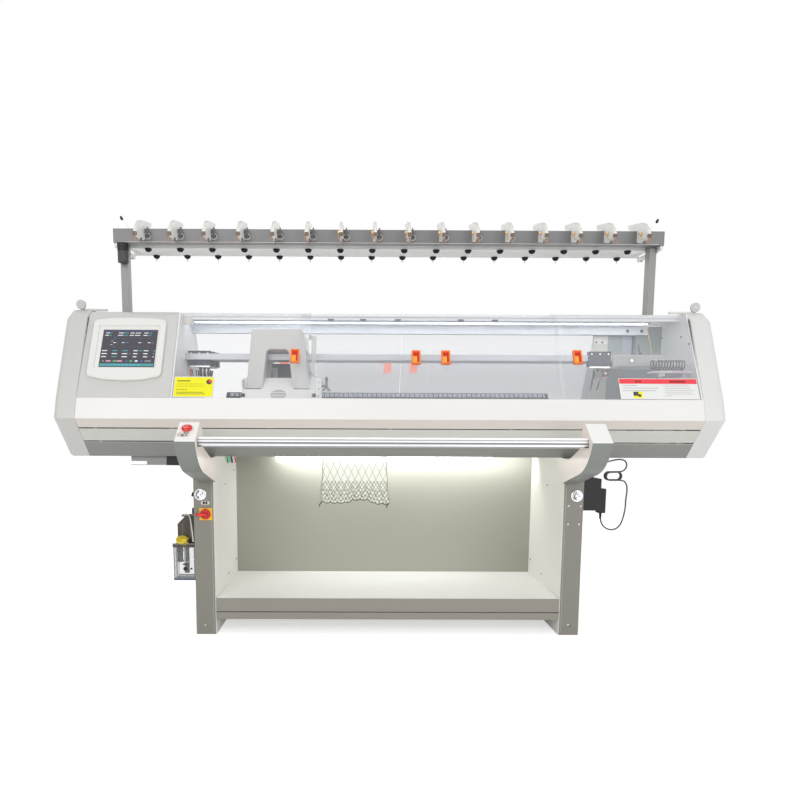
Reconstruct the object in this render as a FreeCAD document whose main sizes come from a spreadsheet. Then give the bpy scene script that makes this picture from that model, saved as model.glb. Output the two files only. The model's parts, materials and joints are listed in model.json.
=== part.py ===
import FreeCAD, Part
import Sketcher
import math
import os

# Flat knitting machine. Lengths are in millimetres and angles in degrees.
# X runs along the needle beds, Y from the operator to the back, Z up from the floor.
# The origin is on the floor, under the middle of the machine.

doc = FreeCAD.newDocument("flat_knitting_machine")
sheet = doc.addObject("Spreadsheet::Sheet", "sizes")

drivingSizes = (
    # whole machine
    ("overallLength", 2700),
    ("bodyDepth", 640),
    ("armReach", 250),
    ("clearance", 0.3),
    ("fit", 0.05),
    # outline of the body: heights from the floor, depths from its nose
    ("noseRise", 157),
    ("bandRise", 84),
    ("bandTopBack", 25),
    ("deckRise", 332),
    ("roofHalfDepth", 117.9),
    ("roofRadius", 60),
    ("bellyRise", 0.5),
    ("bellyBack", 140),
    ("groove", 4),
    ("upperGrooveDrop", 36),
    ("lowerGrooveDrop", 92),
    ("apronWall", 4),
    ("ledgeDepth", 50),
    ("ledgeThick", 3),
    ("capLength", 90),
    ("capRadius", 26),
    ("capRise", 6),
    ("capShoulderBack", 33.6),
    ("capShoulderDrop", 33),
    ("capRoofBack", 24),
    ("capWall", 5),
    ("shellWall", 3),
    # stand
    ("legInner", 733),
    ("legWidth", 83),
    ("legFront", 89),
    ("legDepth", 516),
    ("legTop", 757),
    ("legWall", 3),
    ("panelThick", 2),
    ("shelfHeight", 158),
    ("shelfLip", 58),
    ("shelfWall", 3),
    ("beamHeight", 31),
    ("beamDepth", 60),
    ("beamDrop", 4),
    ("lampLength", 1060),
    ("lampDepth", 24),
    ("lampHeight", 22),
    ("lampDrop", 8),
    # machine bed and needle beds
    ("throatWidth", 3),
    ("bedTopRise", 277),
    ("bedSlope", 170),
    ("bedThick", 24),
    ("bedHalf", 713),
    ("castingInset", 30),
    ("castingWallInset", 20),
    ("castingHalfDepth", 170),
    ("castingBase", 40),
    ("castingWallInner", 70),
    ("castingWallOuter", 106),
    ("slotHalf", 690),
    ("slotHalfWidth", 32),
    ("ribThick", 12),
    ("ribTop", 16),
    ("ribShoulder", 60),
    ("ribFoot", 5),
    ("rollerPlate", 12),
    ("rollerHalf", 700),
    ("rollerRadius", 20),
    ("rollerGap", 4),
    ("rollerRise", 63),
    ("rollerShaft", 8),
    # frames, rails and deck
    ("leftFrameX", 885),
    ("frameThick", 6),
    ("frameInset", 4),
    ("frameFootFront", 160),
    ("frameFootBack", 430),
    ("deckFront", 254),
    ("deckThick", 6),
    ("deckFlange", 20),
    ("railInset", 288),
    ("railRise", 136),
    ("railHeight", 26),
    ("railThick", 10),
    ("railPitch", 40),
    ("railCount", 4),
    ("upperBeamFront", 388),
    ("upperBeamDepth", 28),
    ("upperBeamDrop", 66),
    ("upperBeamHeight", 42),
    ("upperBeamInset", 81),
    ("standInset", 38),
    ("standDrop", 84),
    ("standThick", 8),
    ("standSlotInset", 67),
    ("standSlotWidth", 60),
    ("standSlotDrop", 127),
    ("standSlotHeight", 87),
    ("bracketFront", 250),
    ("bracketHeight", 47),
    ("bracketThick", 8),
    ("bracketLength", 221),
    ("firstBoltX", 82),
    ("secondBoltX", 183),
    ("boltRadius", 7),
    ("boltHeight", 5),
    ("coilInset", 120),
    ("coilFront", 142),
    ("coilRise", 111),
    ("coilRadius", 21),
    ("coilWire", 5),
    ("coilTurns", 11),
    ("coilPitch", 12),
)
drivingSizes += (
    # clear sliding covers
    ("coverWall", 4),
    ("outerTrack", 3),
    ("innerTrack", 10),
    ("innerDrop", 7),
    ("coverInnerRadius", 56),
    ("coverEnd", 250),
    ("coverPlay", 7),
    ("firstCoverRight", 329),
    ("secondCoverLeft", 373),
    ("coverMeeting", 169),
    ("thirdCoverRight", 709),
    ("fourthCoverLeft", 692),
    ("coverGap", 1),
    ("pullWidth", 36),
    ("pullLength", 62),
    ("pullDepth", 12),
    ("pullPocket", 9),
    ("pullRim", 6),
    ("pullRise", 160),
    ("pullInset", 61),
    ("rearCoverMeeting", 71),
    ("rearFirstRight", 420),
    ("rearSecondLeft", 464),
    ("rearThirdRight", 1000),
    ("rearFourthLeft", 959),
    # control panel and screen, distances up the slope from its foot
    ("bezelLeftInset", 31),
    ("bezelRightInset", 43),
    ("bezelFoot", 92),
    ("bezelHead", 356),
    ("bezelBulge", 20),
    ("bezelArch", 10),
    ("bezelThick", 14),
    ("bezelRadius", 22),
    ("bezelRimWidth", 26),
    ("bezelRimFoot", 37),
    ("bezelRimHead", 28),
    ("bezelPocket", 8),
    ("lipWidth", 16),
    ("lipFoot", 7),
    ("screenThick", 5),
    # carriage
    ("carriageX", -471),
    ("bridgeFoot", 274),
    ("bridgeTop", 215),
    ("bridgeGap", 73),
    ("bridgeFootReach", 145),
    ("bridgeTopReach", 130),
    ("bridgeInnerReach", 90),
    ("bridgeRoom", 4),
    ("archFoot", 141),
    ("archTop", 91),
    ("archDrop", 7),
    ("archRadius", 18),
    ("camLength", 315),
    ("camFloat", 8),
    ("camRise", 152),
    ("camTopRise", 59),
    ("camFootDrop", 41),
    ("camShift", 8),
    ("knobRadius", 9),
    ("knobHeight", 9),
    ("clampWidth", 60),
    # drive belt
    ("pulleyInset", 27),
    ("pulleyRise", 48),
    ("pulleyRadius", 38),
    ("pulleyFront", 446),
    ("pulleyWidth", 20),
    ("pulleyPin", 8),
    ("pulleyPinSeat", 4),
    ("beltThick", 4),
    # yarn carriers
    ("carrierLength", 96),
    ("carrierWidth", 28),
    ("carrierDrop", 24),
    ("carrierRise", 15),
    ("carrierStep", 9),
    ("carrierPlay", 13),
    ("tipDrop", 50),
    ("tipPitch", 7),
    ("armThick", 5),
    ("armWide", 12),
    # arms and operating bar, depths in front of the nose
    ("armInner", 721),
    ("armWidth", 75),
    ("armRidgeRise", 77),
    ("armTopFront", 165),
    ("armTopRise", 144),
    ("armBackTop", 135),
    ("armBackRise", 127),
    ("armWaist", 120),
    ("armWaistRise", 49),
    ("armChin", 210),
    ("armChinDrop", 26),
    ("armFootDrop", 104),
    ("armCurve", 195),
    ("armWall", 5),
    ("armCoverThick", 3),
    ("barReach", 196),
    ("barRise", 72),
    ("barTall", 36),
    ("barDeep", 30),
    ("barGroove", 4),
    ("barPin", 6),
    ("barPinLength", 12),
    # switches and latches
    ("stopShare", 0.55),
    ("stopCollarRadius", 19),
    ("stopCollarHeight", 5),
    ("stopHeadRadius", 20),
    ("stopHeadHeight", 12),
    ("stopTravel", 5),
    ("stopStem", 8),
    ("switchX", 766),
    ("switchDrop", 238),
    ("switchPlate", 50),
    ("switchPlateThick", 4),
    ("switchDisc", 17),
    ("switchDiscThick", 8),
    ("switchGripLength", 38),
    ("switchGripWidth", 10),
    ("switchGripHeight", 12),
    ("latchX", 786),
    ("latchDrop", 156),
    ("latchRadius", 25),
    ("latchRing", 5),
    ("latchDeep", 6),
    ("latchGripWidth", 8),
    ("latchGripHeight", 9),
)
drivingSizes += (
    # yarn stand
    ("postInset", 120),
    ("postWidth", 30),
    ("postDepth", 45),
    ("postFront", 290),
    ("postHeight", 338),
    ("postGroove", 8),
    ("postGrooveDepth", 9),
    ("yarnBeamOver", 28),
    ("yarnBeamDepth", 35),
    ("yarnBeamRise", 290),
    ("yarnBeamHeight", 58),
    ("coneBarOver", 10),
    ("coneBarDepth", 15),
    ("coneBarRise", 288),
    ("coneBarHeight", 27),
    ("rearConeBarFront", 455),
    ("standBracketWidth", 12),
    ("standBracketHeight", 16),
    ("unitCount", 16),
    ("unitInset", 90),
    ("unitShift", 8),
    ("finWidth", 13),
    ("finReach", 115),
    ("finTipRise", 4),
    ("finTip", 12),
    ("finBrow", 80),
    ("finCrown", 30),
    ("finCrownRise", 24),
    ("finBack", 60),
    ("finRise", 48),
    ("finTail", 14),
    ("finChin", 22),
    ("finRound", 45),
    ("unitDiscShift", 20),
    ("alarmGap", 3),
    ("unitDiscRadius", 12),
    ("unitDiscRise", 38),
    ("unitDiscThick", 9),
    ("coneRadius", 15),
    ("lampTubeRadius", 22),
    ("lampTubeHeight", 80),
    ("lampTubeInset", 6),
    # guide wheels on the end caps
    ("guideInset", 40),
    ("guideFront", 232),
    ("guideRadius", 20),
    ("guideThick", 12),
    ("guideHeight", 24),
    ("guidePin", 5),
    ("guideBlock", 14),
    ("guideBarReach", 55),
    ("guideBarHeight", 8),
    # oil pump
    ("pumpFront", 98),
    ("pumpDepth", 94),
    ("pumpWidth", 96),
    ("tankBase", 272),
    ("tankHeight", 141),
    ("tankWall", 3),
    ("tankInset", 3),
    ("lidThick", 10),
    ("pumpHouseDrop", 252),
    ("pumpHouseWidth", 83),
    ("pumpHouseDepth", 56),
    ("pumpHouseSlant", 36),
    ("pumpTube", 11),
    ("pumpTubeLength", 118),
    ("fillerRadius", 18),
    ("fillerHeight", 28),
    # boxes
    ("driveBoxGap", 80),
    ("driveBoxLong", 198),
    ("driveBoxStep", 132),
    ("driveBoxDeep", 170),
    ("driveBoxHigh", 38),
    ("driveBoxLow", 22),
    ("powerWidth", 80),
    ("powerFront", 110),
    ("powerDepth", 90),
    ("powerDrop", 221),
    ("powerHeight", 135),
    ("plugWidth", 31),
    ("plugDepth", 35),
    ("plugDrop", 14),
    ("plugHeight", 104),
    ("plugFront", 135),
    ("screwRadius", 4.5),
    ("screwHeight", 2),
    # cable
    ("cableRadius", 3.25),
    ("hankX", 958),
    ("hankHeight", 680),
    ("hankFront", 134),
    ("hankRun", 34),
    ("hankLoop", 17),
    ("hankTurns", 4),
    ("hankPitch", 8.2),
    # knitted cloth
    ("clothLeft", 287),
    ("clothRight", 27),
    ("clothThick", 2.2),
    ("clothTopDrop", 4),
    ("clothFlatDrop", 17),
    ("clothHemDrop", 245),
    ("clothWaves", 7),
    ("clothWaveDepth", 9),
    # guard coil and its strip
    ("coilStripDrop", 28),
    ("coilStripThick", 5),
    # small sizes of the arms, switch and stand
    ("armKnee", 5),
    ("barGap", 2),
    ("switchStem", 5),
    ("unitPin", 4),
    ("driveBoxFront", 160),
)

for row, (alias, number) in enumerate(drivingSizes, start=1):
    sheet.set("A%d" % row, alias)
    sheet.set("B%d" % row, str(number))
    sheet.setAlias("B%d" % row, alias)
doc.recompute()


class Size:
    # a number together with the sheet formula that gives it

    def __init__(self, number, formula):
        self.number = number
        self.formula = formula

    def __add__(self, other):
        other = asSize(other)
        return Size(self.number + other.number, "(%s + %s)" % (self.formula, other.formula))

    def __sub__(self, other):
        other = asSize(other)
        return Size(self.number - other.number, "(%s - %s)" % (self.formula, other.formula))

    def __mul__(self, other):
        other = asSize(other)
        return Size(self.number * other.number, "(%s * %s)" % (self.formula, other.formula))

    def __truediv__(self, other):
        other = asSize(other)
        return Size(self.number / other.number, "(%s / %s)" % (self.formula, other.formula))

    def __neg__(self):
        return Size(-self.number, "(0 - %s)" % self.formula)

    def __radd__(self, other):
        return asSize(other) + self

    def __rsub__(self, other):
        return asSize(other) - self

    def __rmul__(self, other):
        return asSize(other) * self


def asSize(value):
    if isinstance(value, Size):
        return value
    return Size(value, repr(value))


def cosine(angle):
    return Size(math.cos(math.radians(angle.number)), "cos(%s * 1deg)" % angle.formula)


def sine(angle):
    return Size(math.sin(math.radians(angle.number)), "sin(%s * 1deg)" % angle.formula)


class Sizes:
    # the sheet's cells as attributes
    pass


size = Sizes()
for alias, number in drivingSizes:
    setattr(size, alias, Size(float(sheet.get(alias)), "sizes.%s" % alias))

# heights that build on one another
castingTop = size.legTop + size.castingBase
noseHeight = size.legTop + size.noseRise
bandTop = noseHeight + size.bandRise
bellyHeight = size.legTop + size.bellyRise
upperGroove = noseHeight - size.upperGrooveDrop
lowerGroove = noseHeight - size.lowerGrooveDrop
bedTop = size.legTop + size.bedTopRise
deckHeight = bedTop + size.deckRise
railBottom = bedTop + size.railRise
railTop = railBottom + size.railHeight
carrierBottom = railBottom - size.carrierDrop
carrierTop = railTop + size.carrierRise
bridgeHeight = deckHeight - size.bridgeGap
bridgeRoof = carrierTop + size.bridgeRoom
camTop = bedTop + size.camTopRise
camFoot = bedTop - size.camFootDrop
rollerHeight = castingTop + size.rollerRise
pulleyHeight = castingTop + size.pulleyRise
upperBeamBottom = deckHeight - size.upperBeamDrop
upperBeamTop = upperBeamBottom + size.upperBeamHeight
coilHeight = bedTop + size.coilRise
yarnBeamBottom = deckHeight + size.yarnBeamRise
coneBarBottom = deckHeight + size.coneBarRise
switchHeight = size.legTop - size.switchDrop
latchHeight = size.legTop - size.latchDrop
ridgeHeight = size.legTop + size.armRidgeRise
armTop = size.legTop + size.armTopRise
barHeight = size.legTop + size.barRise
archHeight = bridgeRoof - size.archDrop
tipHeight = carrierBottom - size.tipDrop
armBackHeight = size.legTop + size.armBackRise
armWaistHeight = size.legTop + size.armWaistRise
armChinHeight = size.legTop - size.armChinDrop
armFootHeight = size.legTop - size.armFootDrop
postTop = deckHeight + size.postHeight
unitDiscHeight = yarnBeamBottom + size.unitDiscRise
clothTop = bedTop - size.clothTopDrop
clothFlat = size.legTop - size.clothFlatDrop
clothHem = size.legTop - size.clothHemDrop

# places that several pieces share
half = size.overallLength / 2
bodyHalf = half - size.capLength
castingHalf = bodyHalf - size.castingInset
rightFrameX = bodyHalf - size.clearance - size.frameThick
railRight = bodyHalf - size.railInset
standLeft = railRight + size.standInset
coilLeft = railRight + size.coilInset
castingWallHalf = size.leftFrameX - size.castingWallInset
pulleyX = castingWallHalf - size.pulleyInset
guideX = half - size.guideInset
postX = bodyHalf - size.postInset
coneBarHalf = postX + size.coneBarOver
yarnBeamHalf = postX + size.yarnBeamOver
lampTubeX = postX - size.lampTubeInset
nose = size.armReach / 2 - size.bodyDepth / 2
throat = nose + size.bodyDepth / 2
slopeFoot = nose + size.bandTopBack
lean = (throat - size.roofHalfDepth - slopeFoot) / (deckHeight - bandTop)
slopeLean = Size(math.degrees(math.atan(lean.number)), "(atan(%s) / 1deg)" % lean.formula)
bandSlope = size.bandTopBack / (bandTop - noseHeight)
bellySlope = size.bellyBack / (noseHeight - bellyHeight)
root2 = math.sqrt(2)
# share of the shorter run that a bend takes, step of the gap measure, and what counts as straight
bendShare = 0.45
gapStep = 0.5
straightEnough = 1e-7
# how far the end caps' inner face moves in at the belly, the front and the roof, in wall thicknesses
capInsetBelly = 0.6
capInsetFront = 1.1
capInsetRoof = 0.5
topOfSlope = throat - size.roofHalfDepth

parts = []


def keep(item, label):
    item.Label = label
    parts.append(item)
    return item


def bind(item, name, value):
    value = asSize(value)
    item.setExpression(name, value.formula)


def place(item, x=0, y=0, z=0):
    bind(item, "Placement.Base.x", x)
    bind(item, "Placement.Base.y", y)
    bind(item, "Placement.Base.z", z)
    return item


def turned(item, axis, angle):
    item.Placement.Rotation = FreeCAD.Rotation(FreeCAD.Vector(*axis), 30)
    bind(item, "Placement.Rotation.Angle", angle)
    return item


def box(name, x0, x1, y0, y1, z0, z1):
    item = doc.addObject("Part::Box", name)
    bind(item, "Length", asSize(x1) - x0)
    bind(item, "Width", asSize(y1) - y0)
    bind(item, "Height", asSize(z1) - z0)
    return place(item, x0, y0, z0)


turnFor = {
    "x": FreeCAD.Rotation(FreeCAD.Vector(0, 1, 0), 90),
    "y": FreeCAD.Rotation(FreeCAD.Vector(1, 0, 0), -90),
    "z": FreeCAD.Rotation(),
}


def rod(name, axis, radius, length, x, y, z):
    # a cylinder that starts at x, y, z and runs along the positive axis
    item = doc.addObject("Part::Cylinder", name)
    bind(item, "Radius", radius)
    bind(item, "Height", length)
    item.Placement.Rotation = turnFor[axis]
    return place(item, x, y, z)


def cut(name, base, *tools):
    for number, tool in enumerate(tools):
        item = doc.addObject("Part::Cut", "%s_cut%d" % (name, number))
        item.Base = base
        item.Tool = tool
        base = item
    return base


def fuse(name, *pieces):
    item = doc.addObject("Part::MultiFuse", name + "_fuse")
    item.Shapes = list(pieces)
    item.Refine = True
    return item


def common(name, *pieces):
    item = doc.addObject("Part::MultiCommon", name + "_common")
    item.Shapes = list(pieces)
    return item


def group(label, *pieces):
    # separate solids that share one node
    item = doc.addObject("Part::Compound", label)
    item.Links = list(pieces)
    return keep(item, label)


def mirrored(name, source, normal, base=(0, 0, 0)):
    item = doc.addObject("Part::Mirroring", name)
    item.Source = source
    item.Normal = FreeCAD.Vector(*normal)
    for axis, value in zip("xyz", base):
        bind(item, "Base.%s" % axis, value)
    return item


def inCode(name, shape):
    item = doc.addObject("Part::Feature", name)
    item.Shape = shape
    return item


def planeOf(body, role):
    return [feature for feature in body.Origin.OriginFeatures if feature.Role == role][0]


def addLine(sketch, start, end):
    points = [FreeCAD.Vector(p[0].number, p[1].number, 0) for p in (start, end)]
    return sketch.addGeometry(Part.LineSegment(*points), False)


def profile(name, plane, outline, length, holes=(), reverse=False):
    # a body padded from a closed outline; an outline point is (across, up), each a size
    body = doc.addObject("PartDesign::Body", name)
    sketch = body.newObject("Sketcher::SketchObject", name + "_outline")
    sketch.AttachmentSupport = [(planeOf(body, plane), "")]
    sketch.MapMode = "FlatFace"
    for loop in (outline,) + tuple(holes):
        loop = [(asSize(across), asSize(up)) for across, up in loop]
        ends = loop[1:] + loop[:1]
        lines = [addLine(sketch, start, end) for start, end in zip(loop, ends)]
        for line, following in zip(lines, lines[1:] + lines[:1]):
            sketch.addConstraint(Sketcher.Constraint("Coincident", line, 2, following, 1))
        for line, (across, up) in zip(lines, loop):
            for kind, value in (("DistanceX", across), ("DistanceY", up)):
                index = sketch.addConstraint(Sketcher.Constraint(kind, -1, 1, line, 1, value.number))
                sketch.setExpression("Constraints[%d]" % index, value.formula)
    pad = body.newObject("PartDesign::Pad", name + "_pad")
    pad.Profile = sketch
    pad.Reversed = reverse
    bind(pad, "Length", length)
    return body


def edgesNear(shape, axis, spots):
    # names of the straight edges along an axis that pass through the given spots
    found = []
    across = [number for number in range(3) if number != axis]
    for number, edge in enumerate(shape.Edges, start=1):
        if edge.Curve.TypeId != "Part::GeomLine" or len(edge.Vertexes) != 2:
            continue
        start, end = edge.Vertexes[0].Point, edge.Vertexes[1].Point
        if any(abs(start[k] - end[k]) > 0.001 for k in across):
            continue
        for spot in spots:
            if all(abs(start[k] - value.number) < 0.01 for k, value in zip(across, spot)):
                found.append("Edge%d" % number)
    return found


def rounded(body, axis, radius, *spots):
    # fillets a body's edges along X, Y or Z at the given outline points
    doc.recompute()
    spots = [(asSize(first), asSize(second)) for first, second in spots]
    tip = body.Tip
    names = edgesNear(tip.Shape, "xyz".index(axis), spots)
    if len(names) != len(spots):
        raise RuntimeError("%s: %d edges for %d spots" % (body.Name, len(names), len(spots)))
    fillet = body.newObject("PartDesign::Fillet", body.Name + "_round")
    fillet.Base = (tip, names)
    bind(fillet, "Radius", radius)
    return body


def flipped(points):
    # an outline in Y and Z mirrored to the machine's back
    return [(throat * 2 - across, up) for across, up in points]


# ---- stand ----

def makeLeg(label, side):
    outer = (size.legInner + size.legWidth) * side
    inner = size.legInner * side
    low, high = (outer, inner) if side < 0 else (inner, outer)
    front = nose + size.legFront
    back = front + size.legDepth
    wall = size.legWall
    case = box(label + "_case", low, high, front, back, 0, size.legTop)
    if side < 0:
        low = low + wall
    else:
        high = high - wall
    room = box(label + "_room", low, high, front + wall, back - wall, wall, size.legTop - wall)
    if side > 0:
        return cut(label, case, room)
    bore = rod(label + "_bore", "y", size.switchStem + size.fit, wall, -size.switchX, front,
               switchHeight)
    return cut(label, case, room, bore)


def ringAndCup(name, x, z):
    front = nose + size.legFront - size.latchDeep
    ring = rod(name + "_ring", "y", size.latchRadius, size.latchDeep, x, front, z)
    room = rod(name + "_seat", "y", size.latchRadius - size.latchRing, size.latchDeep, x, front, z)
    return cut(name, ring, room)


def switchPlate():
    across = size.switchPlate / 2
    front = nose + size.legFront - size.switchPlateThick
    plate = box("switch_square", -size.switchX - across, -size.switchX + across,
                front, nose + size.legFront, switchHeight - across, switchHeight + across)
    bore = rod("switch_bore", "y", size.switchStem + size.fit, size.switchPlateThick, -size.switchX,
               front, switchHeight)
    return cut("switch_plate", plate, bore)


group("left_leg", makeLeg("left_leg_sheet", -1), ringAndCup("left_cup", -size.latchX, latchHeight),
      switchPlate())
group("right_leg", makeLeg("right_leg_sheet", 1), ringAndCup("right_cup", size.latchX, latchHeight))

bayHalf = size.legInner - size.panelThick
bayBack = nose + size.legFront + size.legDepth - size.panelThick
standFront = nose + size.legFront
shelfEdge = bayHalf - size.clearance

group("bay_side_panels",
      box("left_bay_panel", -size.legInner, -bayHalf, standFront, bayBack, 0, size.legTop),
      box("right_bay_panel", bayHalf, size.legInner, standFront, bayBack, 0, size.legTop))
keep(box("back_panel", -size.legInner, size.legInner, bayBack, bayBack + size.panelThick,
         0, size.legTop), "back_panel")


def fabricShelf():
    low = size.shelfHeight - size.shelfLip
    wall = size.shelfWall
    outline = [
        (standFront, low),
        (standFront + wall, low),
        (standFront + wall, size.shelfHeight - wall),
        (bayBack - size.clearance, size.shelfHeight - wall),
        (bayBack - size.clearance, size.shelfHeight),
        (standFront, size.shelfHeight),
    ]
    return place(profile("shelf_tray", "YZ_Plane", outline, shelfEdge * 2), -shelfEdge)


def shelfBeam():
    high = size.shelfHeight - size.shelfLip - size.beamDrop
    front = standFront + size.shelfWall + 1
    bar = box("shelf_beam_bar", -shelfEdge, shelfEdge, front, front + size.beamDepth,
              high - size.beamHeight, high)
    wall = size.shelfWall
    room = box("shelf_beam_room", -shelfEdge, shelfEdge, front + wall, front + size.beamDepth - wall,
               high - size.beamHeight + wall, high - wall)
    return cut("shelf_beam", bar, room)


group("fabric_shelf", fabricShelf(), shelfBeam())
keep(box("bay_lamp", -size.lampLength / 2, size.lampLength / 2, bayBack - size.lampDepth, bayBack,
         size.legTop - size.lampDrop - size.lampHeight, size.legTop - size.lampDrop), "bay_lamp")


# ---- machine bed ----

bedUnder = bedTop - size.bedThick * root2
throatFront = throat - size.throatWidth / 2


def underBed(y):
    # height of the front needle bed's lower face at a depth
    return bedUnder - (throatFront - y)


def castingBody():
    reach = size.castingHalfDepth
    outer = throat - size.castingWallOuter
    inner = throat - size.castingWallInner
    base = box("casting_base", -castingHalf, castingHalf, throat - reach, throat + reach,
               size.legTop, castingTop)
    wall = [(outer, size.legTop), (inner, size.legTop), (inner, underBed(inner)), (outer, underBed(outer))]
    front = place(profile("casting_front_wall", "YZ_Plane", wall, castingWallHalf * 2),
                  -castingWallHalf)
    back = place(profile("casting_back_wall", "YZ_Plane", flipped(wall)[::-1], castingWallHalf * 2),
                 -castingWallHalf)
    slot = box("casting_slot", -size.slotHalf, size.slotHalf, throat - size.slotHalfWidth,
               throat + size.slotHalfWidth, size.legTop, castingTop)
    return [base, front, back], slot


def innerApron(z):
    # depth of the apron's inner face at a height under the nose
    return nose + (noseHeight - z) * bellySlope + size.apronWall + size.clearance


def innerBand(z):
    # depth behind the band's inner face at a height over the nose
    return nose + (z - noseHeight) * bandSlope + size.apronWall + size.clearance * 2


def rib(name, x, backward):
    low = bellyHeight + size.apronWall + size.clearance
    edge = throat - size.castingHalfDepth
    outline = [
        (edge + size.ribFoot, low),
        (edge + size.ribFoot, castingTop),
        (edge - size.ribShoulder, noseHeight + size.ribTop),
        (innerBand(noseHeight + size.ribTop), noseHeight + size.ribTop),
        (innerBand(noseHeight), noseHeight),
        (innerApron(low), low),
    ]
    if backward:
        outline = flipped(outline)[::-1]
    return place(profile(name, "YZ_Plane", outline, size.ribThick), x - size.ribThick / 2)


def bearingPlate(name, side):
    near = (size.rollerHalf + size.fit * 4) * side
    far = near + size.rollerPlate * side
    low, high = (far, near) if side < 0 else (near, far)
    high_edge = rollerHeight + size.rollerRadius * 2
    plate = box(name, low, high, throat - size.castingWallInner, throat + size.castingWallInner,
                castingTop, high_edge)
    reach = size.rollerRadius + size.rollerGap / 2
    bores = [rod("%s_bore%d" % (name, number), "x", size.rollerShaft + size.fit, size.rollerPlate,
                 low, throat + reach * place_, rollerHeight)
             for number, place_ in enumerate((-1, 1))]
    return cut(name, plate, *bores)


def pulleyPin(name, x):
    start = throat + size.castingWallOuter - size.pulleyPinSeat
    length = nose + size.pulleyFront + size.pulleyWidth - start
    return rod(name, "y", size.pulleyPin, length, x, start, pulleyHeight)


ribPlaces = (-0.97, -0.72, -0.4, 0, 0.4, 0.72, 0.97)
pieces, slot = castingBody()
for number, share in enumerate(ribPlaces):
    pieces.append(rib("front_rib%d" % number, castingHalf * share, False))
    pieces.append(rib("back_rib%d" % number, castingHalf * share, True))
pieces.append(bearingPlate("left_bearing_plate", -1))
pieces.append(bearingPlate("right_bearing_plate", 1))
pieces.append(pulleyPin("left_pulley_pin", -pulleyX))
pieces.append(pulleyPin("right_pulley_pin", pulleyX))
keep(cut("machine_bed", fuse("machine_bed", *pieces), slot), "machine_bed")


def needleBed(name, backward):
    drop = size.bedSlope / root2
    across = size.bedThick / root2
    outline = [
        (throatFront, bedTop),
        (throatFront - drop, bedTop - drop),
        (throatFront - drop + across, bedTop - drop - across),
        (throatFront, bedUnder),
    ]
    if backward:
        outline = flipped(outline)[::-1]
    return place(profile(name, "YZ_Plane", outline, size.bedHalf * 2), -size.bedHalf)


group("needle_beds", needleBed("front_needle_bed", False), needleBed("rear_needle_bed", True))


# ---- frames, rails and deck ----

def slopeLine(inset, z):
    # depth of the front slope at a height, moved back by an inset
    return slopeFoot + inset + (z - bandTop) * lean


frameFoot = bandTop + size.clearance
deckUnder = deckHeight - size.deckThick


def endFrame(name, x):
    inset = size.frameInset
    top = deckUnder
    front = [
        (nose + size.frameFootFront, castingTop),
        (nose + size.frameFootFront, frameFoot),
        (slopeLine(inset, frameFoot), frameFoot),
        (slopeLine(inset, top), top),
    ]
    back = flipped(front)[::-1]
    back[-1] = (nose + size.frameFootBack, castingTop)
    back[-2] = (nose + size.frameFootBack, frameFoot)
    outline = front + back
    return place(profile(name, "YZ_Plane", outline[::-1], size.frameThick), x)


stripTop = coilHeight - size.coilStripDrop
stripHalf = size.coilRadius + 1
group("end_frames", endFrame("left_end_frame", -size.leftFrameX),
      endFrame("right_end_frame", rightFrameX),
      box("coil_strip", coilLeft - size.coilWire, rightFrameX, nose + size.coilFront - stripHalf,
          nose + size.coilFront + stripHalf, stripTop - size.coilStripThick, stripTop))
frameFace = -size.leftFrameX + size.frameThick

railDepths = [throat + size.railPitch * (number - (size.railCount.number - 1) / 2)
              for number in range(int(size.railCount.number))]
rails = [box("rail%d" % number, frameFace, railRight, y - size.railThick / 2,
             y + size.railThick / 2, railBottom, railTop)
         for number, y in enumerate(railDepths)]
group("carrier_rails", *rails)

beamFront = nose + size.upperBeamFront
beamBack = beamFront + size.upperBeamDepth


def railStand():
    beam = box("upper_beam", frameFace, bodyHalf - size.upperBeamInset, beamFront, beamBack,
               upperBeamBottom, upperBeamTop)
    plate = box("stand_plate", standLeft, rightFrameX, beamBack, beamBack + size.standThick,
                bedTop - size.standDrop, upperBeamTop)
    slotLeft = standLeft + size.standSlotInset
    slotLow = upperBeamTop - size.standSlotDrop
    slot = box("stand_slot", slotLeft, slotLeft + size.standSlotWidth, beamBack,
               beamBack + size.standThick, slotLow, slotLow + size.standSlotHeight)
    front = nose + size.bracketFront
    wall = size.bracketThick
    left = railRight
    outline = [
        (left, front),
        (left + size.bracketLength, front),
        (left + size.bracketLength, front + wall),
        (left + wall, front + wall),
        (left + wall, beamBack - wall),
        (standLeft + size.bracketHeight, beamBack - wall),
        (standLeft + size.bracketHeight, beamBack),
        (left, beamBack),
    ]
    bracket = profile("rail_bracket_arm", "XY_Plane", outline, size.bracketHeight)
    place(bracket, 0, 0, railTop - size.bracketHeight)
    middle = railTop - size.bracketHeight / 2
    bolts = [rod("bracket_bolt%d" % number, "y", size.boltRadius, size.boltHeight, left + along,
                 front - size.boltHeight, middle)
             for number, along in enumerate((size.firstBoltX, size.secondBoltX))]
    group("rail_stand", beam, cut("stand", plate, slot), bracket, *bolts)


railStand()


def topDeck():
    low = deckUnder
    front = nose + size.deckFront
    wall = size.shellWall
    outline = [
        (front, low - size.deckFlange),
        (front + wall, low - size.deckFlange),
        (front + wall, low),
    ]
    outline = outline + flipped(outline)[::-1] + [
        (throat * 2 - front, deckHeight),
        (front, deckHeight),
    ]
    left = -size.leftFrameX + size.frameThick
    deck = profile("deck_sheet", "YZ_Plane", outline, rightFrameX - left)
    place(deck, left)
    rests = [box("left_deck_rest", -size.leftFrameX, left, front, throat * 2 - front, low, deckHeight),
             box("right_deck_rest", rightFrameX, bodyHalf - size.clearance, front,
                 throat * 2 - front, low, deckHeight)]
    return fuse("top_deck", deck, *rests)


keep(topDeck(), "top_deck")


# ---- apron and bands ----

def apronOuter(z):
    return nose + (noseHeight - z) * bellySlope


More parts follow.
